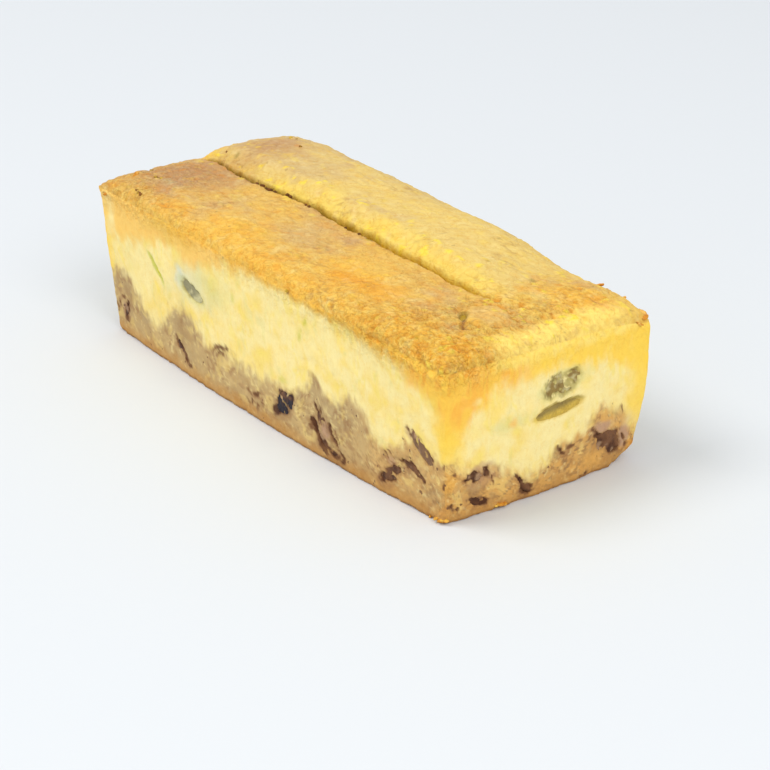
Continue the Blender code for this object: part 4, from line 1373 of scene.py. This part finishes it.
def makePieceMaterial(name, roughness):
    material, tree, shader = startMaterial(name)
    shader.inputs["Specular IOR Level"].default_value = 0.16
    place = addNode(tree, "TexCoord").outputs["Object"]
    bake = addNode(tree, "Attribute", attribute_name="bake").outputs["Color"]
    grain = addNode(tree, "Group", {"Streaks": 0.0, "Folds": 0.0, "Chance": 0.0}, node_tree=grainGroup)
    tree.links.new(place, grain.inputs["Vector"])
    dark = remap(tree, grain.outputs["Shade"], 0.55, 0.35)
    shaded = mixColours(tree, 1.0, bake, (0.55, 0.5, 0.5, 1), "MULTIPLY")
    colour = mixColours(tree, calculate(tree, "MULTIPLY", dark, 0.6), bake, shaded)
    tree.links.new(colour, shader.inputs["Base Color"])
    tree.links.new(remap(tree, grain.outputs["Height"], 0.3, 0.7, roughness, roughness + 0.25), shader.inputs["Roughness"])
    bump = addNode(tree, "Bump", {"Height": grain.outputs["Height"], "Strength": 0.6, "Distance": 0.0002})
    tree.links.new(bump.outputs[0], shader.inputs["Normal"])
    return material


beanSkin = makePieceMaterial("beanSkin", 0.38)
fruitFlesh = makePieceMaterial("fruitFlesh", 0.34)


def camelName(node):
    words = node.split("_")
    return words[0] + "".join(word.title() for word in words[1:])


for number, node in enumerate(beanNodes + fruitNodes):
    bean = node.startswith("red_bean")
    piece = copyNode(node, camelName(node))
    sink = {"green_fruit_near_1": 0.2, "green_fruit_right_2": 0.1, "green_fruit_top_1": 0.9}.get(node, 0.1)
    places, facing = roughenPiece(piece, 0.4, 0.22 if bean else 0.07, sink, outlines[node]["wall"], 300 + 10 * number)
    if bean:
        storeColour(piece.data, "bake", beanColours(places, 300 + 10 * number, node))
    else:
        storeColour(piece.data, "bake", fruitColours(places, 300 + 10 * number, node))
    piece.data.materials.append(beanSkin if bean else fruitFlesh)
    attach(piece, "root")
    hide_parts(node)
print("beans and fruit made")


# Loose crumbs: place along, across and height, then radius, each set against the nearest skin

crumbs = {
    "brownCrumbs": {
        "colours": ("slitBrown", "brown"),
        "shape": (1.0, 0.8, 0.7),
        "places": [
            (-50.5, -2.6, 54, 0.6), (-47.6, -2.2, 54, 0.8), (-45.6, -2.4, 54, 0.7), (-43.4, -1.8, 54, 0.9), (-41.6, -1.8, 54, 0.6),
            (-36, -0.8, 54, 0.8), (-34.2, -0.4, 54, 0.7), (-26.4, 0, 54, 0.6), (-24.8, 0, 54, 0.5), (-4, -1.4, 54, 0.5),
            (2.6, -1.2, 54, 0.5),
        ],
    },
    "crustCrumbs": {
        "colours": ("brown", "gold"),
        "shape": (1.0, 0.8, 0.55),
        "places": [
            (-73.9, -24.9, 53.3, 0.7), (-72.8, -24.2, 53.4, 0.5), (-70.4, -34.4, 51.9, 0.7), (-69.2, -34.9, 51.8, 0.6),
            (-67.8, -35.4, 51.6, 0.7), (-66.6, -35.2, 51.6, 0.5), (-68.4, -33.6, 52.0, 0.4), (-84.6, -20.6, 51.6, 0.6),
            (-83.4, -20.2, 51.8, 0.5), (-72.4, 26.4, 56, 0.7), (-71.2, 27.2, 56, 0.5), (-60.6, 22, 57.4, 0.5),
            (-77.6, 5.0, 54, 0.6), (16.6, -37.2, 47.8, 0.6),
        ],
    },
    "rimCrumbs": {
        "colours": ("burnt", "goldTan"),
        "shape": (1.9, 0.9, 0.3),
        "places": [
            (76.4, 37.6, 46.6, 1.0), (83.8, 37.6, 45.6, 1.2), (87.2, 35.6, 45.2, 1.1), (88, 32.4, 44.2, 0.9),
            (-84.4, -36.8, 48.2, 0.9), (-80.8, -28.4, 51.4, 0.8), (66.6, 36.4, 47.6, 1.0), (69.6, 36.8, 47.2, 0.9),
        ],
    },
    "baseCrumbs": {
        "colours": ("burnt", "golden"),
        "shape": (1.2, 0.7, 0.5),
        "places": [
            (88.2, -15.6, 0.8, 1.1), (88.0, -13.8, 0.6, 0.8), (88.4, -17.0, 0.5, 0.6), (84.6, -35.2, 0.7, 0.9),
            (82.4, -35.6, 0.5, 0.7), (86.2, -34.4, 0.6, 0.8), (79.6, -35.4, 0.4, 0.5),
        ],
    },
}


def makeCrumbs(name, look, seed):
    luck = np.random.default_rng(seed)
    lumps = []
    for x, y, z, radius in look["places"]:
        nearest = np.argmin(np.linalg.norm(relieved - (x, y, z), axis=1))
        place = Vector(relieved[nearest] + 0.1 * radius * normals[nearest])
        place.z = max(place.z, 0.45 * radius)
        bpy.ops.mesh.primitive_ico_sphere_add(subdivisions=3, radius=radius * mm, location=place * mm)
        lump = bpy.context.object
        lump.scale = look["shape"]
        lump.rotation_euler = tuple(luck.uniform(-0.5, 0.5, 2)) + (luck.uniform(0, 3.1),)
        lumps.append(lump)
    for lump in lumps:
        lump.select_set(True)
    bpy.ops.object.join()
    piece = bpy.context.object
    bpy.ops.object.transform_apply(location=True, rotation=True, scale=True)
    piece.name = name
    mesh = piece.data
    places, facing = getPoints(mesh) / mm, getNormals(mesh)
    rough = noise(warped(places, 1.2, 0.4, seed), 0.9, seed + 1, 2)
    places = places + facing * (0.3 * rough)[:, None]
    places[:, 2] = np.maximum(places[:, 2], 0)
    setPoints(mesh, places * mm)
    shade = ramp(0.5 + 0.8 * noise(places, 1.4, seed + 2, 2))[:, None]
    first, second = (bakes[bake] for bake in look["colours"])
    storeColour(mesh, "bake", first * (1 - shade) + second * shade)
    for face in mesh.polygons:
        face.use_smooth = True
    mesh.materials.append(crumbCrust)
    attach(piece, "root")


crumbCrust = makePieceMaterial("crumbCrust", 0.6)
for number, (name, look) in enumerate(crumbs.items()):
    makeCrumbs(name, look, 700 + number)
print("crumbs made")
